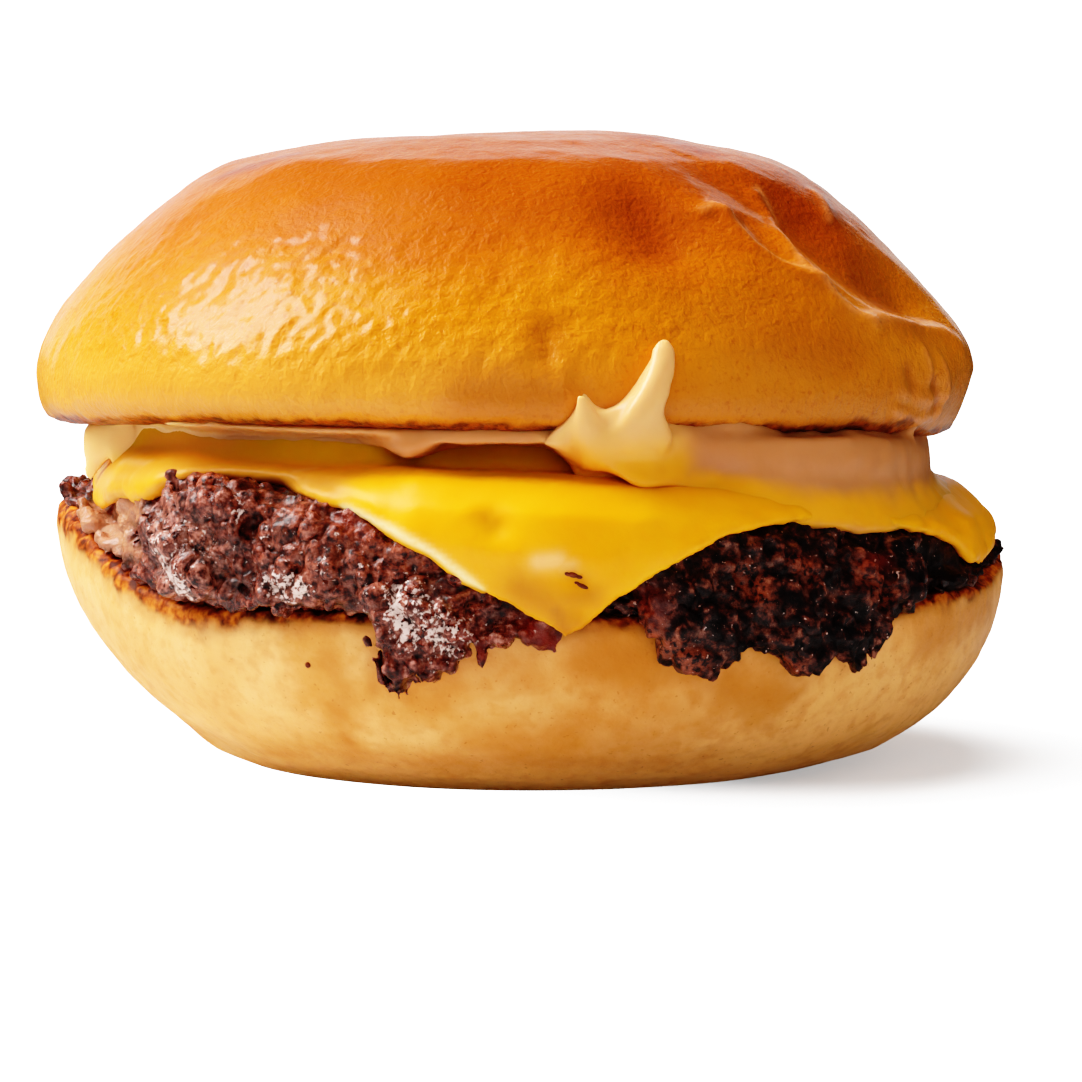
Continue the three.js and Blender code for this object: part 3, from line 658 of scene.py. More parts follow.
def patty_material():
    shader = Shader(
        "seared_beef",
        Specular_IOR_Level=0.6,
        Coat_Weight=0.45,
        Coat_Roughness=0.16,
        Coat_IOR=1.5,
        Subsurface_Weight=0.08,
        Subsurface_Radius=(0.0020, 0.0006, 0.0004),
        Subsurface_Scale=0.5,
    )
    fine = shader.noise(0.75, detail=5, roughness=0.65)
    meat = shader.ramp(
        fine, (0.36, 34, 9, 6), (0.46, 80, 26, 16), (0.55, 120, 56, 42), (0.66, 164, 106, 90)
    )
    coarse = shader.noise(1.5, detail=5, roughness=0.66)
    char = shader.ramp(
        coarse, (0.42, 21, 12, 12), (0.51, 46, 24, 20), (0.58, 92, 46, 34), (0.68, 146, 88, 68)
    )
    charred = shader.painted("char")
    seared = shader.mix(charred, meat, char)
    # Painted glints: pale specks scattered over the charred meat.
    sparks = shader.math("MULTIPLY", shader.between(shader.noise(0.5, detail=1), 0.72, 0.76), charred)
    sparkling = shader.mix(sparks, seared, linear(190, 150, 136))
    # hollow: painted shade in the meat's crevices, cracks and hollows.
    grained = shader.tinted(sparkling, ("hollow", 20, 8, 6))
    # light is painted light on the lit lumps; rust is an orange-brown tone, partly painted light on
    # rims.
    for name, least, *tint in (("light", 0.38, 182, 124, 104), ("rust", 0.4, 160, 72, 38)):
        grains = shader.between(fine, least, 0.56)
        share = shader.math("MULTIPLY", shader.painted(name), grains)
        grained = shader.mix(share, grained, linear(*tint))
    creamy = shader.tinted(grained, ("raw", 112, 26, 8), ("sauced", 190, 128, 92))
    # Painted highlights: pale patches where fat gleams.
    specks = shader.noise(0.6, detail=3, roughness=0.6)
    spread = shader.math("MULTIPLY_ADD", shader.painted("grease"), 0.29, specks)
    greasy = shader.mix(shader.between(spread, 0.68, 0.8), creamy, linear(205, 178, 168))
    relief = shader.bumps((shader.noise(0.6, detail=4, roughness=0.62), 0.3))
    roughness = shader.between(shader.noise(2.5, detail=3), 0.35, 0.65, 0.22, 0.45)
    roughness = shader.math("MULTIPLY_ADD", charred, 0.3, roughness)
    return shader.finish(Base_Color=greasy, Roughness=roughness, Normal=relief)


def crumb_material():
    shader = Shader("crumbs", Roughness=0.5)
    tone = shader.ramp(shader.noise(0.8), (0.4, 130, 56, 26), (0.6, 90, 36, 16))
    return shader.finish(Base_Color=tone)


# ---------------------------------------------------------------- bun crown

# Narrow folds and dents near the crown's right end, whose crests carry a painted highlight and whose
# bottoms painted shade.
SHORT_FOLD = [(703, 211), (714, 206), (726, 214)]
END_FOLDS = [
    [(925, 352), (931, 376)],
    [(942, 362), (946, 392)],
    [(900, 392), (922, 400), (943, 397)],
    [(893, 411), (918, 419), (938, 412)],
]
END_DENTS = [
    [(912, 372), (915, 388)],
    [(934, 380), (936, 408)],
]
# Folds and dents of the crust, as patches: a route of picture pixels, a width and a rise.
FOLDS = [
    (
        [(721, 213), (754, 245), (774, 258), (793, 269), (821, 282), (838, 302), (860, 319), (871, 324)],
        0.9,
        0.5,
    ),
    ([(871, 325), (884, 319), (916, 322), (944, 333), (958, 346)], 1.4, 0.5),
    ([(756, 194), (771, 213), (780, 232), (793, 252), (808, 267), (818, 279)], 0.9, 0.45),
    ([(819, 196), (828, 217)], 1.2, 0.35),
    ([(752, 222), (768, 240), (784, 253)], 1.8, -0.5),
    ([(800, 228), (826, 258), (856, 284), (900, 300)], 4.5, -0.9),
    ([(638, 215), (655, 245)], 4.5, -0.6),
    ([(553, 330), (549, 352)], 2.0, -0.45),
    ([(562, 345), (563, 385), (552, 420)], 1.1, 0.35),
    ([(60, 378), (62, 392)], 2.2, -0.3),
    (END_FOLDS[0], 0.9, 0.4),
    (END_FOLDS[1], 0.9, 0.4),
    (END_FOLDS[2], 0.8, 0.35),
    (END_FOLDS[3], 0.8, 0.4),
    (END_DENTS[0], 1.1, -0.35),
    (END_DENTS[1], 1.0, -0.45),
    (SHORT_FOLD, 0.9, 0.5),
]
# Crests of the folds, lightened as a painted highlight, as patches of paint.
CRESTS = [
    (
        [(734, 220), (749, 235), (773, 254), (800, 267), (815, 276), (831, 293), (849, 311), (870, 323)],
        0.42,
        0.6,
    ),
    ([(870, 323), (888, 317), (909, 319), (933, 326), (957, 338)], 0.7, 0.45),
    ([(758, 187), (767, 199), (779, 217), (782, 232), (794, 250), (803, 265)], 0.42, 0.5),
    ([(815, 193), (824, 208), (828, 220)], 0.5, 0.35),
    (SHORT_FOLD, 0.5, 0.35),
    (END_FOLDS[0], 0.45, 0.4),
    (END_FOLDS[1], 0.45, 0.4),
    (END_FOLDS[2], 0.4, 0.35),
    (END_FOLDS[3], 0.4, 0.4),
]
# Spots where the crust is baked darker, and painted shade in dents, in the fold valley and on the right
# face.
DARK_SPOTS = [
    ([(638, 212), (655, 245)], 4.2, 0.6),
    ([(640, 137), (668, 140), (700, 150)], 2.4, 0.9),
    ([(228, 174), (262, 164), (290, 156)], 1.8, 0.9),
    ([(800, 205), (830, 250), (880, 295)], 5.5, 0.6),
    ([(690, 290), (760, 330), (830, 350)], 6.0, 0.35),
    ([(470, 395), (510, 398), (548, 395)], 3.5, 0.45),
    ([(540, 330), (546, 375)], 2.0, 0.35),
    ([(760, 300), (830, 340)], 4.0, 0.3),
    ([(700, 180), (740, 200)], 5.0, 0.25),
    ([(553, 335), (549, 350)], 2.0, 0.35),
    (END_DENTS[0], 1.3, 0.5),
    (END_DENTS[1], 1.1, 0.6),
    ([(750, 405), (830, 410), (900, 405)], 3.0, 0.3),
]
# A scorched stretch of the crown's lower edge, as picture pixels.
SCORCHED = [(852, 426), (880, 428), (908, 423)]
CROWN_VOXEL = 1.06
CROWN_SOFT_ABOVE = (1.0, 5.0)  # heights over the cut between which the smoothing sets in
CUT_EDGE_FROM = 45  # distance from the axis beyond which the crown's lowest points are its cut edge


def above_cut(points):
    """How high points are over the crown's cut edge."""
    return points[:, 2] - edge_heights(points, np.min, radii_of(points) > CUT_EDGE_FROM)


def build_crown():
    crown = remeshed(copy_with("crown_crust", "bun_crown"), CROWN_VOXEL)
    above = above_cut(points_of(crown))
    relax(crown, 12, np.maximum(eased(above, *CROWN_SOFT_ABOVE), 0.15))
    crown = subdivided(crown)
    tree = tree_of(crown)
    points = points_of(crown)
    azimuths, radii, heights = polar(points)
    above = above_cut(points)
    at_rim = eased(radii, 44, 47)
    push = 0.28 * layered_noise(points, 13, 2) + 0.07 * layered_noise(points, 3.0, 2, offset=5)
    lit_side = facing(azimuths, 243, 60, 25) * eased(heights, 42, 46) * eased(heights, 60, 56)
    lower_front = facing(azimuths, 272, 40, 20) * eased(heights, 52, 46)
    wrinkled = 0.2 + 1.6 * lit_side + 0.8 * lower_front
    push += 0.075 * wrinkled * layered_noise(points * [1, 1, 0.5], 1.15, 2, offset=3)
    push += 0.28 * (eased(above, 2.2, 0.6) * at_rim) * layered_noise(points, 2.4, 3, offset=21)
    for fold in patches_at(points, tree, FOLDS):
        push += fold
    push_out(crown, push * eased(above, -0.2, 0.8))
    left_low = facing(azimuths, 232, 62, 30) * eased(heights, 49, 40)
    right_low = facing(azimuths, 318, 50, 20) * eased(heights, 47, 40)
    ragged = 0.35 * layered_noise(points, 1.8, 3, offset=9)
    scorched = gaps_to_route(points, tree, SCORCHED) + 1.5 * ragged
    toast = 0.95 * eased(above + ragged, 1.4, 0.7) * at_rim
    paint(
        crown,
        # pale: painted light, a paler crust low on the crown's lit left side.
        pale=0.7 * left_low * eased(above, 1, 3),
        # Darker crust: baked spots, plus painted shade in the dents and on the shaded right side.
        baked_dark=np.maximum(greatest(points, tree, DARK_SPOTS), 0.3 * right_low),
        # The crests' pale tone is a painted highlight.
        crest=greatest(points, tree, CRESTS),
        toast=np.maximum(toast, 0.85 * eased(scorched, 1.5, 0.7)),
        crumb=eased(above, 0.25, 0.05) * eased(radii, 47, 44),
    )
    return dress(crown, crown_material(), "bun_crown")


# ---------------------------------------------------------------- bun heel

HEEL_VOXEL = 1.02
# Grease that has run down the crust.
GREASE = [
    ([(445, 664), (520, 672)], 4.0, 0.6),
    ([(596, 655), (640, 662)], 4.5, 0.75),
    ([(730, 690), (770, 700)], 4.0, 0.75),
    ([(640, 700), (700, 720)], 3.0, 0.35),
    ([(330, 660), (345, 690), (338, 720)], 1.6, 0.45),
    ([(375, 640), (372, 690)], 0.9, 0.5),
    ([(402, 655), (404, 690)], 1.3, 0.5),
    ([(345, 735), (350, 742)], 0.9, 0.5),
    ([(330, 705), (345, 706)], 0.8, 0.4),
    ([(930, 640), (990, 600)], 2.8, 0.5),
    ([(510, 700), (570, 715), (650, 740)], 4.5, 0.3),
]


def below_rim(points):
    """How far points are below the heel's rim."""
    return edge_heights(points, np.max) - points[:, 2]


def build_heel():
    heel = remeshed(copy_with("heel_crust", "bun_heel"), HEEL_VOXEL)
    points = points_of(heel)
    soft = np.maximum(eased(below_rim(points), 1.0, 4.0), 0.2) * eased(points[:, 2], 0.2, 2)
    relax(heel, 10, soft)
    heel = subdivided(heel)
    tree = tree_of(heel)
    points = points_of(heel)
    azimuths, heights = azimuths_of(points), points[:, 2]
    below = below_rim(points)
    inside = eased(normals_of(heel)[:, 2], 0.25, 0.6) * eased(radii_of(points), 30, 38)
    push = 0.22 * layered_noise(points, 11, 2, offset=2)
    push += 0.05 * layered_noise(points, 2.2, 3, offset=4)
    left_rim = facing(azimuths, 210, 40, 15)
    crumbly = np.maximum(inside, eased(below, 1.6 + 1.6 * left_rim, 0.4))
    push += 0.42 * crumbly * layered_noise(points, 1.5, 3, offset=7)
    push_out(heel, push * eased(heights, 0.4, 3))
    frayed = 1 + 0.5 * layered_noise(points, 2.0, 3, offset=1)
    ragged = below + 0.7 * layered_noise(points, 2.2, 3, offset=12)
    right_low = facing(azimuths, 320, 36, 14) * eased(heights, 20, 10)
    left_side = facing(azimuths, 212, 38, 15) * eased(heights, 4, 8)
    # A paler crust on the right, the left side and the bottom, painted in as light.
    floury = np.maximum(0.7 * right_low, 0.4 * left_side)
    paint(
        heel,
        toast=np.maximum(inside, 0.95 * eased(ragged - 1.7 * left_rim, 1.4, 0.4)),
        browned=0.4 * eased(ragged - 2.0 * left_rim, 2.8, 0.8),
        floury=np.maximum(floury, 0.85 * eased(heights, 5.5, 2)),
        grease=greatest(points, tree, GREASE, frayed),
    )
    return dress(heel, heel_material(), "bun_heel")


# ---------------------------------------------------------------- cheese

CHEESE_VOXEL = 0.5
SLOPE_BEAD = 0.9  # radius of the balls that the slope under the left lip is made of
# The slice's cut edge, lightened with painted light, as picture pixels.
PALE_EDGE = [(344, 508), (362, 515), (390, 528), (417, 544), (440, 559), (462, 576)]
PALE_EDGE += [(480, 590), (496, 602)]
# Where the slice's lower edge lies on the meat, with the radius of the melted edge in millimetres.
DRAPES = [
    [
        (112, 486, 0.9), (125, 492, 1.0), (140, 497, 1.0), (155, 494, 1.0), (168, 488, 0.9),
        (180, 480, 0.8),
    ],
    [(125, 482, 1.0), (145, 486, 1.0), (165, 480, 0.9)],
    [
        (290, 486, 0.9), (305, 494, 1.0), (325, 503, 1.0), (349, 508, 0.9), (372, 519, 0.9),
        (395, 532, 0.9), (417, 545, 0.9), (440, 560, 0.9), (462, 577, 0.8), (484, 592, 0.7),
    ],
    [
        (300, 482, 1.1), (325, 491, 1.1), (349, 497, 1.1), (372, 507, 1.1), (395, 521, 1.1),
        (417, 534, 1.0), (440, 549, 0.9),
    ],
]
# Two dents of the slice, as patches with a depth.
DIMPLE = ([(488, 517), (494, 524)], 1.6, 0.75)
POCK = ([(572, 576), (584, 580)], 1.2, 0.35)
# Sauce that films the slice, with a strip of painted shade, and painted highlights, as patches of paint.
CHEESE_FILMS = [
    ([(96, 445), (102, 465), (106, 495)], 1.6, 0.95),
    ([(100, 474), (106, 485), (114, 499)], 2.0, 1.0),
    ([(150, 444), (190, 442), (230, 440)], 1.5, 0.65),
    ([(112, 496), (125, 500), (140, 503)], 0.9, 0.6),
    # A strip of painted shade along the slice under the crown's brow.
    ([(116, 482), (200, 474), (330, 484)], 2.2, 0.7),
    ([(905, 505), (920, 508)], 1.2, 0.4),
]
CHEESE_SMEARS = [
    ([(538, 562), (558, 560)], 0.9, 0.7),
    ([(562, 566), (572, 565)], 0.7, 0.45),
    ([(120, 462), (148, 463)], 0.6, 0.5),
    ([(296, 470), (312, 468)], 0.5, 0.4),
]
# Painted shade along the slice's upper edge, under the lip at the left and the crown's brow, then greasy
# spots.
CHEESE_STAINS = [
    ([(118, 478), (150, 470), (200, 467), (260, 472), (335, 484)], 2.0, 0.42),
    ([(345, 474), (430, 475), (520, 476), (570, 477)], 1.2, 0.32),
    ([(489, 517), (492, 522)], 1.4, 0.5),
    ([(572, 576), (584, 580)], 1.4, 0.3),
    ([(520, 590), (548, 605), (572, 628)], 2.1, 0.7),
    ([(566, 600), (592, 596)], 1.4, 0.6),
    ([(556, 612), (566, 632)], 1.3, 0.9),
]


def cheese_slope():
    """Cheese that climbs from the slice's upper edge into the hollow under the sauce's left lip."""
    centres = []
    for azimuth in np.arange(188, 284, 0.8):
        deep = float(eased(azimuth, 250, 262))
        for step in np.arange(0, 1.01, 0.12):
            reach = 44.4 - 1.5 * step**0.7 - 2.6 * deep
            centres.append(spot_at(azimuth, reach, 34.2 + 3.4 * step))
    return balls(centres, [SLOPE_BEAD] * len(centres))


def build_cheese():
    drapes = clinging_beads(tree_of(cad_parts["patty"]), DRAPES, -0.45)
    cheese = remeshed(copy_with("melted_cheese", "cheese", cheese_slope(), drapes), CHEESE_VOXEL)
    relax(cheese, 8)
    points = points_of(cheese)
    azimuths, radii, heights = polar(points)
    edge = eased(heights - edge_heights(points, np.min, step=4.0, reach=2.5), 4, 0.5)
    push = 0.22 * layered_noise(points, 8, 2, offset=3)
    push += 0.3 * edge * layered_noise(points, 3.2, 2, offset=8)
    tree = tree_of(cheese)
    push -= sum(patches_at(points, tree, [DIMPLE, POCK]))
    push += 0.9 * facing(azimuths, 2, 24, 8) * eased(radii, 43, 47)
    push_out(cheese, push)
    cut_edge = gaps_to_route(points, tree, PALE_EDGE)
    cut_edge /= 0.5 + 0.08 * layered_noise(points, 3, 2)
    hollow = facing(azimuths, 236, 52, 40) * eased(heights, 33.6, 35.6)
    at_right = facing(azimuths, 335, 52, 42) * eased(radii, 40, 42)
    sauced = 0.55 * at_right * eased(gaps_to(tree_of(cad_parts["sauce"]), points), 1.8, 0.5)
    paint(
        cheese,
        # deep: painted shade on the cheese in the hollow under the sauce's left lip.
        deep=hollow * eased(radii, 46.5, 45),
        # pale: painted light along the slice's cut edge.
        pale=0.95 * np.exp(-(cut_edge**2)),
        # film: sauce film, and one strip of painted shade under the brow.
        film=np.maximum(greatest(points, tree, CHEESE_FILMS), sauced),
        # smear: painted highlights on the slice.
        smear=greatest(points, tree, CHEESE_SMEARS),
        # stain: greasy spots, and painted shade under the lip and the brow.
        stain=greatest(points, tree, CHEESE_STAINS),
    )
    return dress(cheese, cheese_material(), "cheese")


# ---------------------------------------------------------------- sauce

SAUCE_VOXEL = 0.47
BEAD = 1.0  # radius of the balls that the seam and the foot are made of
# The splash on the crown, as picture pixels with the radius of the sauce there in millimetres.
SPLASH = [
    [(584, 395, 0.85), (584, 405, 1.1), (588, 419, 1.5), (592, 434, 1.8)],
    [
        (667, 350, 1.25), (665, 361, 1.55), (659, 376, 1.8), (650, 392, 2.0), (641, 407, 2.2),
        (632, 424, 2.3),
    ],
    [(575, 432, 1.5), (600, 428, 2.1), (625, 426, 2.3), (646, 430, 2.0), (664, 431, 1.2)],
    [(556, 436, 0.8), (572, 428, 1.0)],
    [
        (668, 428, 0.9), (690, 430, 0.85), (712, 427, 0.8), (735, 426, 0.85), (752, 428, 0.8),
        (775, 433, 0.7),
    ],
    [(790, 434, 0.6), (850, 437, 0.7), (900, 434, 0.7)],
    [(203, 424, 0.35), (212, 422, 0.5), (222, 426, 0.3)],
    [(890, 436, 0.5), (910, 429, 0.6), (925, 421, 0.55), (931, 412, 0.35)],
]
# Where the slice shows through the thin sauce at its left end, as picture pixels.
SEEN_THROUGH = [
    ([(158, 448), (136, 458), (116, 472), (110, 490)], 1.7, 0.95),
]
SUNK = 0.3  # how much of their radius the splash's beads sink into the crust
# Runs that stand proud of the crust, between the fingers.
WEB = [
    [
        (655, 382, 1.2), (648, 393, 1.4), (636, 403, 1.5), (622, 411, 1.5), (608, 416, 1.4),
        (596, 418, 1.3),
    ],
    [(646, 408, 1.7), (630, 418, 2.0), (612, 424, 2.0), (598, 428, 1.8)],
    [(640, 430, 1.9), (618, 434, 2.0), (600, 436, 1.8)],
    [(548, 437, 0.8), (558, 434, 1.1), (568, 431, 1.4), (580, 430, 1.6)],
    [(566, 424, 0.9), (576, 418, 1.1), (584, 410, 1.1)],
]
PROUD = 1.1  # how far their beads' centres stand out, in radii
FLATTENED = 0.42  # share of the splash's thickness that is pressed away
# How far the sauce's foot runs out over the cheese and how high it is, at the front and at the neck.
FOOT_REACH = (2.0, 4.0)
FOOT_RISE = (1.9, 3.2)
FOOT_TURNS = (290, 402)  # azimuths between which it runs
NECK_TURNS = (330, 350)  # azimuths between which it widens to the neck
SKIRT = (272, 292)  # azimuths between which the splash runs down on to the slice
SKIRT_TURNS = [272, 276.6, 279, 280.6, 283.7]  # azimuths at which its lower edge is given
SKIRT_EDGE = [37.0, 36.7, 35.9, 35.0, 32.8]  # the lower edge's heights there
SKIRT_BEAD = 1.2  # radius of the balls that the skirt is made of
SKIRT_TOP = 37.6
SKIRT_SLOPE = 3.8  # height in which the skirt goes from the slice's front out to the splash
CROWN_SIDE_FROM = 34.0  # height from which the crown's front is measured, to press the splash on it
LIFTED_LIP = 37.4  # height that the left lip's lower edge is drawn up to, right of its drip
LIP_FROM = 34.5  # height above which the sauce there belongs to the lip


def sauce_seam(sauce_tree, crown_tree):
    """Sauce that closes the cracks to the crown above it and, at the right, to the cheese below."""
    centres = []
    levels = np.arange(30.5, 39, 0.4)
    crown_levels = np.arange(34.6, 41, 0.3)
    for azimuth in np.arange(0, 360, 0.8):
        reaches = np.array([reach_at(sauce_tree, azimuth, level) for level in levels])
        rim = next(level for level in crown_levels if reach_at(crown_tree, azimuth, level) > 44)
        widest = min(reaches.max(), reach_at(crown_tree, azimuth, rim + 0.3) - 0.3)
        side = levels[reaches > reaches.max() - 1.2]
        for height in np.arange(side.max() - 0.6, rim - 0.1, 0.45):
            centres.append(spot_at(azimuth, widest - 1.15, height))
        if turn_from(azimuth, 325) < 48:
            for height in np.arange(side.min() - 2.4, side.min() + 0.8, 0.45):
                centres.append(spot_at(azimuth, widest - 1.3, height))
    return balls(centres, [BEAD] * len(centres))


def sauce_foot(sauce_tree, cheese_tree):
    """Sauce that rounds off the corner between the band at the right and the slice under it."""
    centres = []
    start, end = FOOT_TURNS
    for azimuth in np.arange(start, end, 0.8):
        widest = max(reach_at(sauce_tree, azimuth, height) for height in np.arange(33, 36, 0.5))
        fading = float(eased(azimuth, start, start + 10) * eased(azimuth, end, end - 16))
        at_neck = float(eased(azimuth, *NECK_TURNS))
        reach, rise = [front + at_neck * (neck - front) for front, neck in (FOOT_REACH, FOOT_RISE)]
        first = None
        for step in np.arange(0, reach, 0.3):
            above = Vector(spot_at(azimuth, widest - 1.0 + step, 60))
            spot = cheese_tree.ray_cast(above, Vector((0, 0, -1)))[0]
            if spot is None or spot[2] < (first or spot[2]) - 1.6:
                break
            first = first or spot[2]
            lift = rise * fading * (1 - step / reach) ** 2 - 1.32
            centres.append(np.array(spot) + [0, 0, lift])
    return balls(centres, [BEAD] * len(centres))


def sauce_skirt(sauce_tree, cheese_tree):
    """Sauce that joins the splash's foot to the front of the slice."""
    centres = []
    lowest = SKIRT_EDGE[-1]
    for azimuth in np.arange(*SKIRT, 0.6):
        beside = [
            max(reach_at(sauce_tree, azimuth + turn, height) for height in (36.5, 37.0, 37.5))
            for turn in range(-3, 4)
        ]
        low = reach_at(cheese_tree, azimuth, lowest)
        out = np.mean(beside) - low
        sunk = 1.6 + 1.2 * float(eased(azimuth, SKIRT[0] + 3, SKIRT[0]))
        for height in np.arange(np.interp(azimuth, SKIRT_TURNS, SKIRT_EDGE) + 0.9, SKIRT_TOP, 0.4):
            share = min((height - lowest) / SKIRT_SLOPE, 1.0)
            centres.append(spot_at(azimuth, low + out * share - sunk + 0.3 * share, height))
    return balls(centres, [SKIRT_BEAD] * len(centres))


def build_sauce(crown, cheese, material):
    solid_tree, rim_tree = [tree_of(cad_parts[node]) for node in ("sauce", "bun_crown")]
    crown_tree, cheese_tree = tree_of(crown), tree_of(cheese)
    seam = sauce_seam(solid_tree, rim_tree)
    foot = sauce_foot(solid_tree, cheese_tree)
    skirt = sauce_skirt(solid_tree, cheese_tree)
    splash = clinging_beads(crown_tree, SPLASH, SUNK)
    web = clinging_beads(crown_tree, WEB, -PROUD)
    sauce = remeshed(copy_with("burger_sauce", "sauce", splash, web, foot, skirt, seam), SAUCE_VOXEL)
    relax(sauce, 6)

    # Thin the sauce under its left lip, and draw the lip's lower edge up beside the drip.
    points = points_of(sauce)
    azimuths, radii, heights = polar(points)
    thinned = facing(azimuths, 228, 30, 20) * eased(heights, 38.0, 37.6)
    pull_in(points, thinned * np.maximum(radii - 44.0, 0))
    hanging = facing(azimuths, 267, 8, 6) * eased(radii, 42, 43.5)
    points[:, 2] += 0.75 * hanging * np.maximum(LIFTED_LIP - heights, 0) * (heights > LIP_FROM)
    move_points(sauce, points)
    relax(sauce, 2)

    # Press the splash flat on to the crust.
    points = points_of(sauce)
    azimuths, radii, heights = polar(points)
    crust = front_reaches(crown_tree, azimuths, heights, CROWN_SIDE_FROM, False)
    splashed = facing(azimuths, 281, 11, 9) * eased(heights, 33, 36)
    pull_in(points, FLATTENED * splashed * np.maximum(radii - crust, 0))
    move_points(sauce, points)
    relax(sauce, 6, splashed)
    relax(sauce, 10, facing(azimuths, 332, 74, 64) * eased(heights, 37, 36))

    points = points_of(sauce)
    azimuths, radii, heights = polar(points)
    push_out(sauce, 0.14 * eased(radii, 36, 40) * layered_noise(points, 4, 2, offset=6))
    beside = np.maximum(facing(azimuths, 318, 62, 54), facing(azimuths, 10, 70, 60))
    beside *= eased(radii, 40, 42)
    gaps = gaps_to(cheese_tree, points) + 0.25 * layered_noise(points, 3, 2)
    nearness = 1 - eased(gaps / (1.8 + 0.9 * facing(azimuths, 280, 14, 8)), 0.1, 1.0)
    under_splash = facing(azimuths, 282.5, 9.5, 6) * eased(heights, 40.0, 34.4)
    seen_through = greatest(points, tree_of(sauce), SEEN_THROUGH)
    # Painted light on the splash's finger and on the sauce at the left end.
    finger = 0.55 * facing(azimuths, 281, 10, 7) * eased(heights, 33.5, 36)
    paint(
        sauce,
        cheesy=np.max([0.9 * beside * nearness, seen_through, 0.9 * under_splash], axis=0),
        # thin: painted shade on the band of sauce at the shaded right side.
        thin=0.75 * facing(azimuths, 325, 48, 40) * eased(heights, 40, 38.5),
        bright=np.maximum(finger, facing(azimuths, 196, 34, 24)),
    )
    return dress(sauce, material, "sauce")


# ---------------------------------------------------------------- patty

PATTY_VOXEL = 0.31
MOST_TRIANGLES = 190000
CRUMBLE_COUNT = 5200
CRUMB_SIZES = (0.5, 0.42)  # median radius, and the spread of its logarithm
CRUMB_LIMITS = (0.3, 1.5)
HANGING_BELOW = 18.5  # height under which crumbs lie on the hanging flaps
HANGING_MOST = 0.8  # greatest radius there
LACE_COUNT = 420
LACE_TURNS = np.arange(252, 314, 0.8)  # azimuths that the lace hangs at
LUMP_SIZE = 3.6
# Lumps and hollows of the meat, as patches with a rise.
MEAT_FORMS = [
    ([(185, 545), (190, 570)], 4.2, 1.5),
    ([(210, 492), (240, 488)], 2.6, 0.9),
    ([(290, 545), (330, 560)], 4.0, 0.9),
    ([(385, 585), (420, 610)], 4.0, 0.8),
    ([(252, 520), (238, 545), (236, 590)], 1.1, -1.2),
    ([(215, 575), (236, 592)], 1.3, -0.9),
    ([(346, 560), (352, 600)], 1.0, -0.7),
    ([(228, 482), (246, 486)], 1.0, -1.0),
    ([(127, 528), (130, 540)], 1.2, -1.8),
    ([(150, 500), (165, 520)], 1.4, -0.8),
    ([(905, 550), (912, 595)], 2.0, 1.2),
    ([(928, 560), (945, 570), (928, 596)], 2.2, -1.7),
    ([(948, 572), (958, 580)], 1.8, -1.3),
    ([(680, 600), (700, 640)], 3.5, 0.9),
    ([(742, 590), (748, 640)], 1.6, -0.6),
    ([(800, 600), (805, 650)], 3.5, 0.8),
    ([(590, 612), (622, 614)], 1.6, -2.0),
]
# Patches of paint: painted highlights on fat, raw red, painted light, orange-brown rims, singed meat.
GREASY = [
    ([(175, 568), (186, 582)], 1.8, 1.0),
    ([(243, 515), (246, 530)], 1.3, 0.9),
    ([(276, 582), (300, 590)], 1.6, 1.0),
    ([(230, 492), (240, 500)], 1.2, 0.5),
    ([(398, 598), (406, 634)], 1.7, 1.0),
    ([(432, 622), (444, 642)], 1.3, 0.9),
    ([(330, 560), (370, 590)], 3.0, 0.35),
    ([(255, 540), (300, 566)], 4.0, 0.25),
    ([(160, 520), (172, 560)], 3.2, 0.6),
    ([(200, 530), (212, 560)], 2.4, 0.45),
    ([(420, 600), (450, 640)], 3.0, 0.65),
    ([(670, 600), (690, 640)], 2.0, 0.1),
    ([(890, 560), (915, 570)], 1.4, 0.12),
]
RAW = [
    ([(528, 628), (540, 634), (556, 645)], 1.2, 0.9),
    ([(345, 520), (375, 525)], 1.4, 0.5),
    ([(648, 592), (654, 615)], 1.5, 0.5),
    ([(868, 562), (884, 560)], 1.0, 0.5),
    ([(468, 640), (478, 652)], 1.0, 0.6),
]
LIGHT = [
    ([(165, 520), (178, 580)], 3.2, 0.38),
    ([(200, 530), (212, 570)], 2.2, 0.25),
]
RUSTY = [
    ([(640, 602), (650, 625), (662, 645)], 1.3, 0.8),
    ([(675, 650), (695, 662)], 1.4, 0.6),
    ([(745, 568), (762, 598)], 1.3, 0.55),
    ([(786, 655), (798, 664)], 1.1, 0.6),
    ([(866, 568), (884, 590)], 1.5, 0.6),
    ([(795, 562), (812, 572)], 1.1, 0.5),
    ([(205, 476), (215, 486)], 2.0, 0.5),
    ([(345, 530), (420, 560)], 2.0, 0.45),
    ([(275, 515), (300, 560), (370, 585)], 4.5, 0.3),
]
SINGED = [
    ([(262, 515), (300, 560), (372, 585)], 4.2, 0.28),
]
# The middle of a smooth stretch of the meat that is painted dark as shade, and its width.
SMOOTH_STRETCH = [(935, 556), (955, 570), (930, 590)]
SMOOTH_WIDTH = 2.8
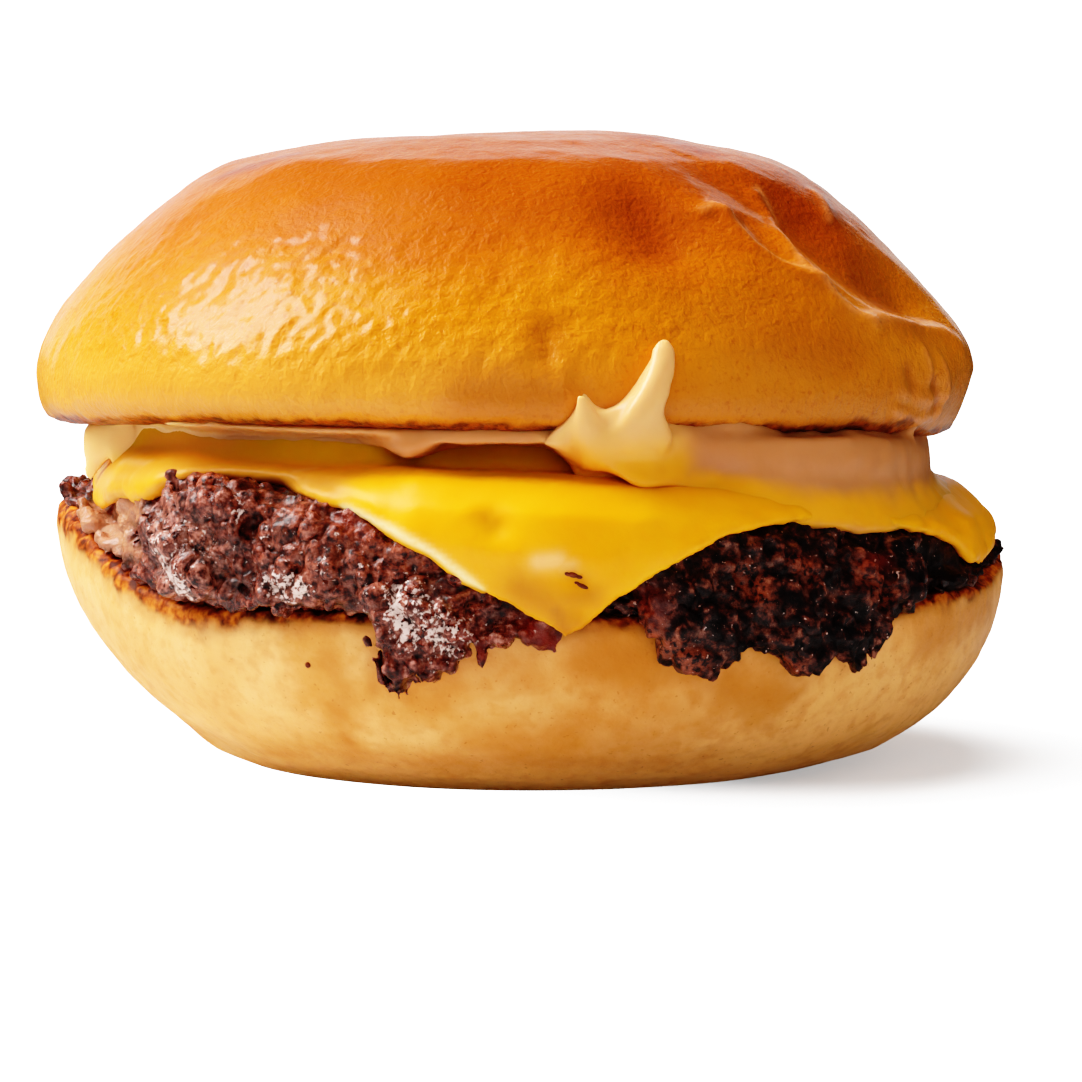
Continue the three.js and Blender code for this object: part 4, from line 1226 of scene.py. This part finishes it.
# Lower edges of the ragged flaps, as picture pixels on the heel behind them.
FLAP_EDGES = [
    [
        (369, 612), (375, 636), (380, 654), (388, 660), (390, 682), (397, 692), (412, 698),
        (417, 682), (438, 684), (447, 674), (458, 672), (464, 658), (474, 653), (484, 662),
        (494, 648), (510, 643), (522, 637), (534, 646), (548, 650), (560, 650), (568, 636),
    ],
    [
        (630, 604), (633, 616), (641, 632), (652, 640), (656, 656), (665, 666), (681, 671),
        (697, 674), (714, 667), (728, 659), (734, 648), (752, 647), (772, 651), (778, 665),
        (789, 674), (802, 667), (812, 658), (822, 656), (831, 668), (842, 668), (847, 658),
        (858, 665), (864, 657), (870, 622), (890, 617), (915, 611), (945, 604),
    ],
]
FLAP_TOP = 21.0  # height above which the flaps keep their form
HEEL_SIDE_FROM = 6.0  # height from which the heel's front is measured, for the flaps to follow


def face_crosses(corners):
    """The normal of each triangle, as long as twice its area."""
    return np.cross(corners[:, 1] - corners[:, 0], corners[:, 2] - corners[:, 0])


def random_spots(corners, weights, count, random):
    """Spots spread over triangles, each with its face's normal."""
    crossed = face_crosses(corners)
    areas = np.linalg.norm(crossed, axis=1)
    chance = areas * weights
    picks = random.choice(len(corners), count, p=chance / chance.sum())
    first, second = random.random((2, count))
    flipped = first + second > 1
    first, second = np.where(flipped, 1 - first, first), np.where(flipped, 1 - second, second)
    chosen = corners[picks]
    spots = chosen[:, 0] + first[:, None] * (chosen[:, 1] - chosen[:, 0])
    spots += second[:, None] * (chosen[:, 2] - chosen[:, 0])
    return spots, crossed[picks] / areas[picks][:, None]


def patty_crumble(random):
    """Drawn-out crumbs of mince over the patty's side and the flaps that hang from it."""
    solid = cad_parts["patty"]
    corners = points_of(solid)[triangles_of(solid)]
    crossed = face_crosses(corners)
    facing_down = crossed[:, 2] / np.linalg.norm(crossed, axis=1) < -0.55
    middles = corners.mean(axis=1)
    radii = radii_of(middles)
    side = (radii > 42) & ~(facing_down & (radii < 46.5))
    weights = side * (1 + eased(middles[:, 2], 19.5, 17))
    spots, outward = random_spots(corners, weights, CRUMBLE_COUNT, random)
    median, deviation = CRUMB_SIZES
    sizes = np.exp(random.normal(math.log(median), deviation, CRUMBLE_COUNT)).clip(*CRUMB_LIMITS)
    hanging = spots[:, 2] < HANGING_BELOW
    sizes = np.where(hanging, np.minimum(sizes, HANGING_MOST), sizes)
    spread = random.normal(size=(CRUMBLE_COUNT, 3))
    spread -= 0.7 * outward * np.einsum("ij,ij->i", spread, outward)[:, None]
    lengths = sizes * random.uniform(0.3, 1.0, CRUMBLE_COUNT)
    spread *= (lengths / np.linalg.norm(spread, axis=1))[:, None]
    deeper = random.uniform(-1.0, -0.1, CRUMBLE_COUNT)
    sunk = np.where(hanging, deeper, random.uniform(-0.9, 0.4, CRUMBLE_COUNT)) * sizes
    centres = spots + outward * sunk[:, None]
    stretches = spread / np.sqrt(np.linalg.norm(spread, axis=1))[:, None]
    return balls(centres, sizes, stretches)


def flap_lace(random):
    """Chains of small crumbs that fray the lower edges of the flaps."""
    points = points_of(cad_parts["patty"])
    azimuths = azimuths_of(points)
    centres, sizes = [], []
    for azimuth in random.choice(LACE_TURNS, LACE_COUNT):
        near = points[(turn_from(azimuths, azimuth) < 2.6) & (radii_of(points) > 46)]
        lowest = near[near[:, 2].argmin()]
        if lowest[2] > 18.4:
            continue
        at = lowest + random.normal(size=3) * [0.9, 0.3, 0.3] + [0, 0, 0.6]
        heading = random.normal(size=3) * [1.0, 0.3, 0.7] + [0, 0, -0.4]
        heading /= np.linalg.norm(heading)
        size = random.uniform(0.28, 0.5)
        for _ in range(random.integers(1, 3)):
            centres.append(at.copy())
            sizes.append(size)
            at += heading * size * 1.1
            heading += random.normal(size=3) * 0.35
            heading /= np.linalg.norm(heading)
            size *= 0.86
    return balls(centres, sizes)


def shape_flaps(patty, heel_tree):
    """Draws each flap's lower edge down or up to its outline, along the heel's side."""
    points = points_of(patty)
    azimuths, radii, heights = azimuths_of(points), radii_of(points), points[:, 2].copy()
    reaches = front_reaches(heel_tree, azimuths, heights, HEEL_SIDE_FROM, True)
    outside = radii > reaches - 0.4
    ends = []
    for outline in FLAP_EDGES:
        edge = seen_route(heel_tree, outline)
        turns = azimuths_of(edge)
        ends += [turns[0], turns[-1]]
        wanted = np.interp(azimuths, turns, edge[:, 2])
        wanted += 0.25 * layered_noise(points, 0.9, 2, offset=31)
        centres = np.arange(turns[0], turns[-1], 0.5)
        lowest = [heights[outside & (turn_from(azimuths, centre) < 0.5)].min() for centre in centres]
        bottom = np.minimum(np.interp(azimuths, centres, lowest), FLAP_TOP - 2)
        share = np.clip((FLAP_TOP - heights) / (FLAP_TOP - bottom), 0, 1)
        moved = outside & (azimuths > turns[0]) & (azimuths < turns[-1]) & (heights < FLAP_TOP)
        points[moved, 2] = (FLAP_TOP - share * (FLAP_TOP - wanted))[moved]
    shifted = front_reaches(heel_tree, azimuths, points[:, 2], HEEL_SIDE_FROM, True)
    stretch = (radii + shifted - reaches) / np.maximum(radii, 1)
    moved = points[:, 2] != heights
    points[moved, :2] = AXIS[:2] + (points[moved, :2] - AXIS[:2]) * stretch[moved, None]
    move_points(patty, points)
    seam = np.max([facing(azimuths, end, 2.6, 0.6) for end in ends], axis=0)
    relax(patty, 8, seam * (heights < FLAP_TOP) * outside)


def mince_lumps(points, size, random):
    """How far points are from the cracks between lumps of mince, in millimetres."""
    low, high = points.min(axis=0) - size, points.max(axis=0) + size
    seeds = random.uniform(low, high, (int(np.prod(high - low) / size**3), 3))
    seeds = seeds[radii_of(seeds) > 36]
    tree = KDTree(len(seeds))
    for index, seed in enumerate(seeds):
        tree.insert(seed, index)
    tree.balance()
    waves = [layered_noise(points, size, 2, offset=offset) for offset in (41, 47, 53)]
    warped = points + 0.28 * size * np.stack(waves, axis=1)
    nearest = np.array([[found[2] for found in tree.find_n(point, 2)] for point in warped])
    return nearest[:, 1] - nearest[:, 0]


def build_patty():
    random = np.random.default_rng(29)
    crumble = patty_crumble(random)
    lace = flap_lace(random)
    patty = remeshed(copy_with("seared_beef", "patty", crumble, lace), PATTY_VOXEL)
    relax(patty, 1)
    shape_flaps(patty, tree_of(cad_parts["bun_heel"]))
    rough = points_of(patty)
    relax(patty, 14)
    crest = np.einsum("ij,ij->i", rough - points_of(patty), normals_of(patty))
    move_points(patty, rough)
    tree = tree_of(patty)
    azimuths, outer = azimuths_of(rough), eased(radii_of(rough), 38, 42)
    crack = mince_lumps(rough, LUMP_SIZE, random)
    push = 0.26 * layered_noise(rough, 1.1, 3, offset=4) * outer
    push += outer * (0.6 * eased(crack, 0, 1.4) - 0.4)
    for form in patches_at(rough, tree, MEAT_FORMS):
        push += form
    push_out(patty, push)
    smooth = gaps_to_route(rough, tree, SMOOTH_STRETCH)
    smooth = np.exp(-((smooth / SMOOTH_WIDTH) ** 4))
    relax(patty, 12, smooth)
    far_left = facing(azimuths, 209, 15, 8) * eased(rough[:, 2], 23, 26)
    relax(patty, 3, 0.8 * far_left)
    turned = (azimuths - 180) % 360
    right = eased(turned, 86, 106) * eased(turned, 190, 172)
    patches = layered_noise(rough, 7, 3, offset=15)
    char = np.clip(right * 0.95 + 0.35 * eased(patches, 0.15, 0.5), 0, 1)
    # Crevices, cracks and hollows of the meat, and the smooth stretch, are painted dark as shade.
    deep = -sum(patches_at(rough, tree, [form for form in MEAT_FORMS if form[-1] < 0]))
    open_meat = 1 - eased(deep, 0.2, 0.6)
    hollow = np.maximum(eased(crest, 0.0, -0.34), 0.8 * eased(deep, 0.3, 1.2))
    cracked = eased(crack + 0.2 * layered_noise(rough, 1.5, 2, offset=9), 0.5, 0.05)
    hollow = np.maximum(hollow, 0.6 * cracked)
    # An orange-brown tone on crests and rims, partly the sear's own colour and partly painted light.
    rust = 0.55 * eased(crest + 0.25 * patches, 0.32, 0.6) * (0.4 + 0.6 * right)
    rust = np.maximum(rust, greatest(rough, tree, RUSTY))
    paint(
        patty,
        char=np.maximum(char, greatest(rough, tree, SINGED)),
        hollow=np.maximum(hollow, 0.8 * smooth),
        # grease: painted highlights where fat gleams.
        grease=greatest(rough, tree, GREASY) * open_meat,
        raw=greatest(rough, tree, RAW),
        # rust: orange-brown sear, partly painted light on crests and rims.
        rust=rust * (1 - smooth) * (1 - 0.6 * hollow),
        sauced=0.7 * far_left * open_meat,
        # light: painted light on the lit lumps at the left.
        light=greatest(rough, tree, LIGHT),
    )
    thin_out(patty, MOST_TRIANGLES)
    return dress(patty, patty_material(), "patty")


# ---------------------------------------------------------------- crumbs

# Small dark crumbs, as picture pixels on the piece they lie on, with their radius.
CHEESE_CRUMBS = [(567, 574, 0.2), (573, 575, 0.27), (579, 577, 0.2), (582, 586, 0.22), (577, 583, 0.15)]
HEEL_CRUMBS = [(308, 665, 0.3)]


def build_crumbs(name, tree, places, drawn_out, material):
    """Crumbs that lie on a piece, each drawn out sideways by a length."""
    random = np.random.default_rng(5)
    centres, sizes, stretches = [], [], []
    for column, row, radius in places:
        spot, _ = seen_at(tree, column, row)
        if spot is not None:
            centres.append(spot)
            sizes.append(radius)
            stretches.append(np.array([drawn_out, 0, -0.3 * drawn_out]) + random.normal(size=3) * 0.1)
    dress(new_piece(name, *balls(centres, sizes, stretches)), material)


# ---------------------------------------------------------------- the burger

sauce_finish = sauce_material()
crumb_finish = crumb_material()
crown = build_crown()
heel = build_heel()
cheese = build_cheese()
sauce = build_sauce(crown, cheese, sauce_finish)
patty = build_patty()
build_crumbs("crumbs_on_cheese", tree_of(cheese), CHEESE_CRUMBS, 0.45, crumb_finish)
build_crumbs("crumbs_on_heel", tree_of(heel), HEEL_CRUMBS, 0.1, crumb_finish)


# ---------------------------------------------------------------- floor, light and camera

FLOOR_HALF = 400.0
FLOOR_FADES = (0.09, 0.3)  # distances in metres between which the paper fades out
SHADOW_MIDDLE = (0.030, 0, 0)  # the patch at the right where the camera sees the burger's shadow
SHADOW_FADES = (0.018, 0.050)  # distances in metres from there between which it fades out
SHADOW_SHOWN = 0.88  # how much of the shadow is seen at its middle
SOFTBOX_AIM = Vector((0, 0, 0.03))
SOFTBOX_DISTANCE = 0.6
# Each softbox's name, direction, width and height in metres, power, and whether it is mirrored.
SOFTBOXES = [
    ("key", (-0.62, 0.20, 0.76), 0.45, 0.45, 10.4, False),
    ("glint", (-0.68, -0.02, 0.73), 0.30, 0.30, 3.0, True),
    ("overhead", (0.0, 0.0, 1.0), 0.35, 0.35, 2.4, False),
    ("front_fill", (0.1, -1.0, 0.30), 0.35, 0.35, 1.4, False),
    ("side_fill", (-0.7, -0.5, 0.8), 0.35, 0.35, 0.7, False),
    ("right_fill", (1.0, -0.3, 0.5), 0.35, 0.35, 0.4, False),
    ("backdrop_glow", (-0.16, 1.0, 0.34), 0.7, 0.34, 0.78, True),
]
AMBIENT = 0.03
BACKDROP = 3.0
TONE_WHITE = 2.2
TONE_STEPS = [(0, 0), (0.011, 0.005), (0.031, 0.04), (0.091, 0.2), (0.273, 0.6)]
TONE_STEPS += [(0.455, 0.8), (0.655, 0.93), (1, 1)]


def build_floor():
    """A sheet of white paper that fades out into the white backdrop."""
    corners = FLOOR_HALF * np.array([(-1, -1, 0), (1, -1, 0), (1, 1, 0), (-1, 1, 0)])
    floor = new_piece("floor", corners, np.array([(0, 1, 2), (0, 2, 3)]))
    shader = Shader("white_paper", Roughness=0.8, Specular_IOR_Level=0.1)
    path = shader.add("ShaderNodeLightPath").outputs
    paper = shader.mix(path["Is Camera Ray"], (0.8, 0.8, 0.8, 1), (0.96, 0.985, 1.0, 1))
    dulled = shader.mix(path["Is Glossy Ray"], paper, (0.2, 0.2, 0.2, 1))
    lighting = shader.between(shader.distance_from((0, 0, 0)), *FLOOR_FADES, 1.0, 0.0)
    shown = shader.between(shader.distance_from(SHADOW_MIDDLE), *SHADOW_FADES, SHADOW_SHOWN, 0.0)
    hidden = shader.math("MULTIPLY", path["Is Camera Ray"], shader.math("SUBTRACT", lighting, shown))
    shader.finish(Base_Color=dulled, Alpha=shader.math("SUBTRACT", lighting, hidden))
    floor.data.materials.append(shader.material)


def add_softbox(name, direction, width, height, power, mirrored):
    """An area light that shines at the burger from a direction."""
    light = bpy.data.lights.new(name, "AREA")
    light.shape = "RECTANGLE"
    light.size = width
    light.size_y = height
    light.energy = power
    lamp = bpy.data.objects.new(name, light)
    away = Vector(direction).normalized()
    lamp.location = away * SOFTBOX_DISTANCE + SOFTBOX_AIM
    lamp.rotation_euler = away.to_track_quat("Z", "Y").to_euler()
    lamp.visible_camera = False
    lamp.visible_glossy = mirrored
    bpy.context.scene.collection.objects.link(lamp)


def set_world():
    """A pure white backdrop for the camera, and a faint even light for the burger."""
    world = bpy.data.worlds.new("studio")
    bpy.context.scene.world = world
    world.use_nodes = True
    nodes, links = world.node_tree.nodes, world.node_tree.links
    seen = nodes.new("ShaderNodeLightPath").outputs["Is Camera Ray"]
    strength = nodes.new("ShaderNodeMapRange")
    strength.inputs["To Min"].default_value = AMBIENT
    strength.inputs["To Max"].default_value = BACKDROP
    links.new(seen, strength.inputs["Value"])
    links.new(strength.outputs[0], nodes["Background"].inputs["Strength"])
    nodes["Background"].inputs["Color"].default_value = (1, 1, 1, 1)


def add_camera():
    data = bpy.data.cameras.new("camera")
    data.sensor_width = SENSOR_WIDTH
    data.lens = SENSOR_WIDTH * FOCAL_PIXELS / PICTURE_SIZE
    data.clip_start = 0.01
    camera = bpy.data.objects.new("camera", data)
    camera.location = CAMERA_AT * MM
    camera.rotation_euler = (math.radians(90 - CAMERA_PITCH), 0, 0)
    bpy.context.scene.collection.objects.link(camera)
    bpy.context.scene.camera = camera


def set_tone():
    """A contrasty print curve: deep, warm shades and soft highlights."""
    view = bpy.context.scene.view_settings
    view.view_transform = "Standard"
    view.use_curve_mapping = True
    mapping = view.curve_mapping
    mapping.white_level = (TONE_WHITE,) * 3
    curve = mapping.curves[3]
    curve.points[0].location, curve.points[-1].location = TONE_STEPS[0], TONE_STEPS[-1]
    for place in TONE_STEPS[1:-1]:
        curve.points.new(*place)
    for point in curve.points:
        point.handle_type = "AUTO_CLAMPED"
    mapping.update()


build_floor()
set_world()
for softbox in SOFTBOXES:
    add_softbox(*softbox)
add_camera()
set_tone()
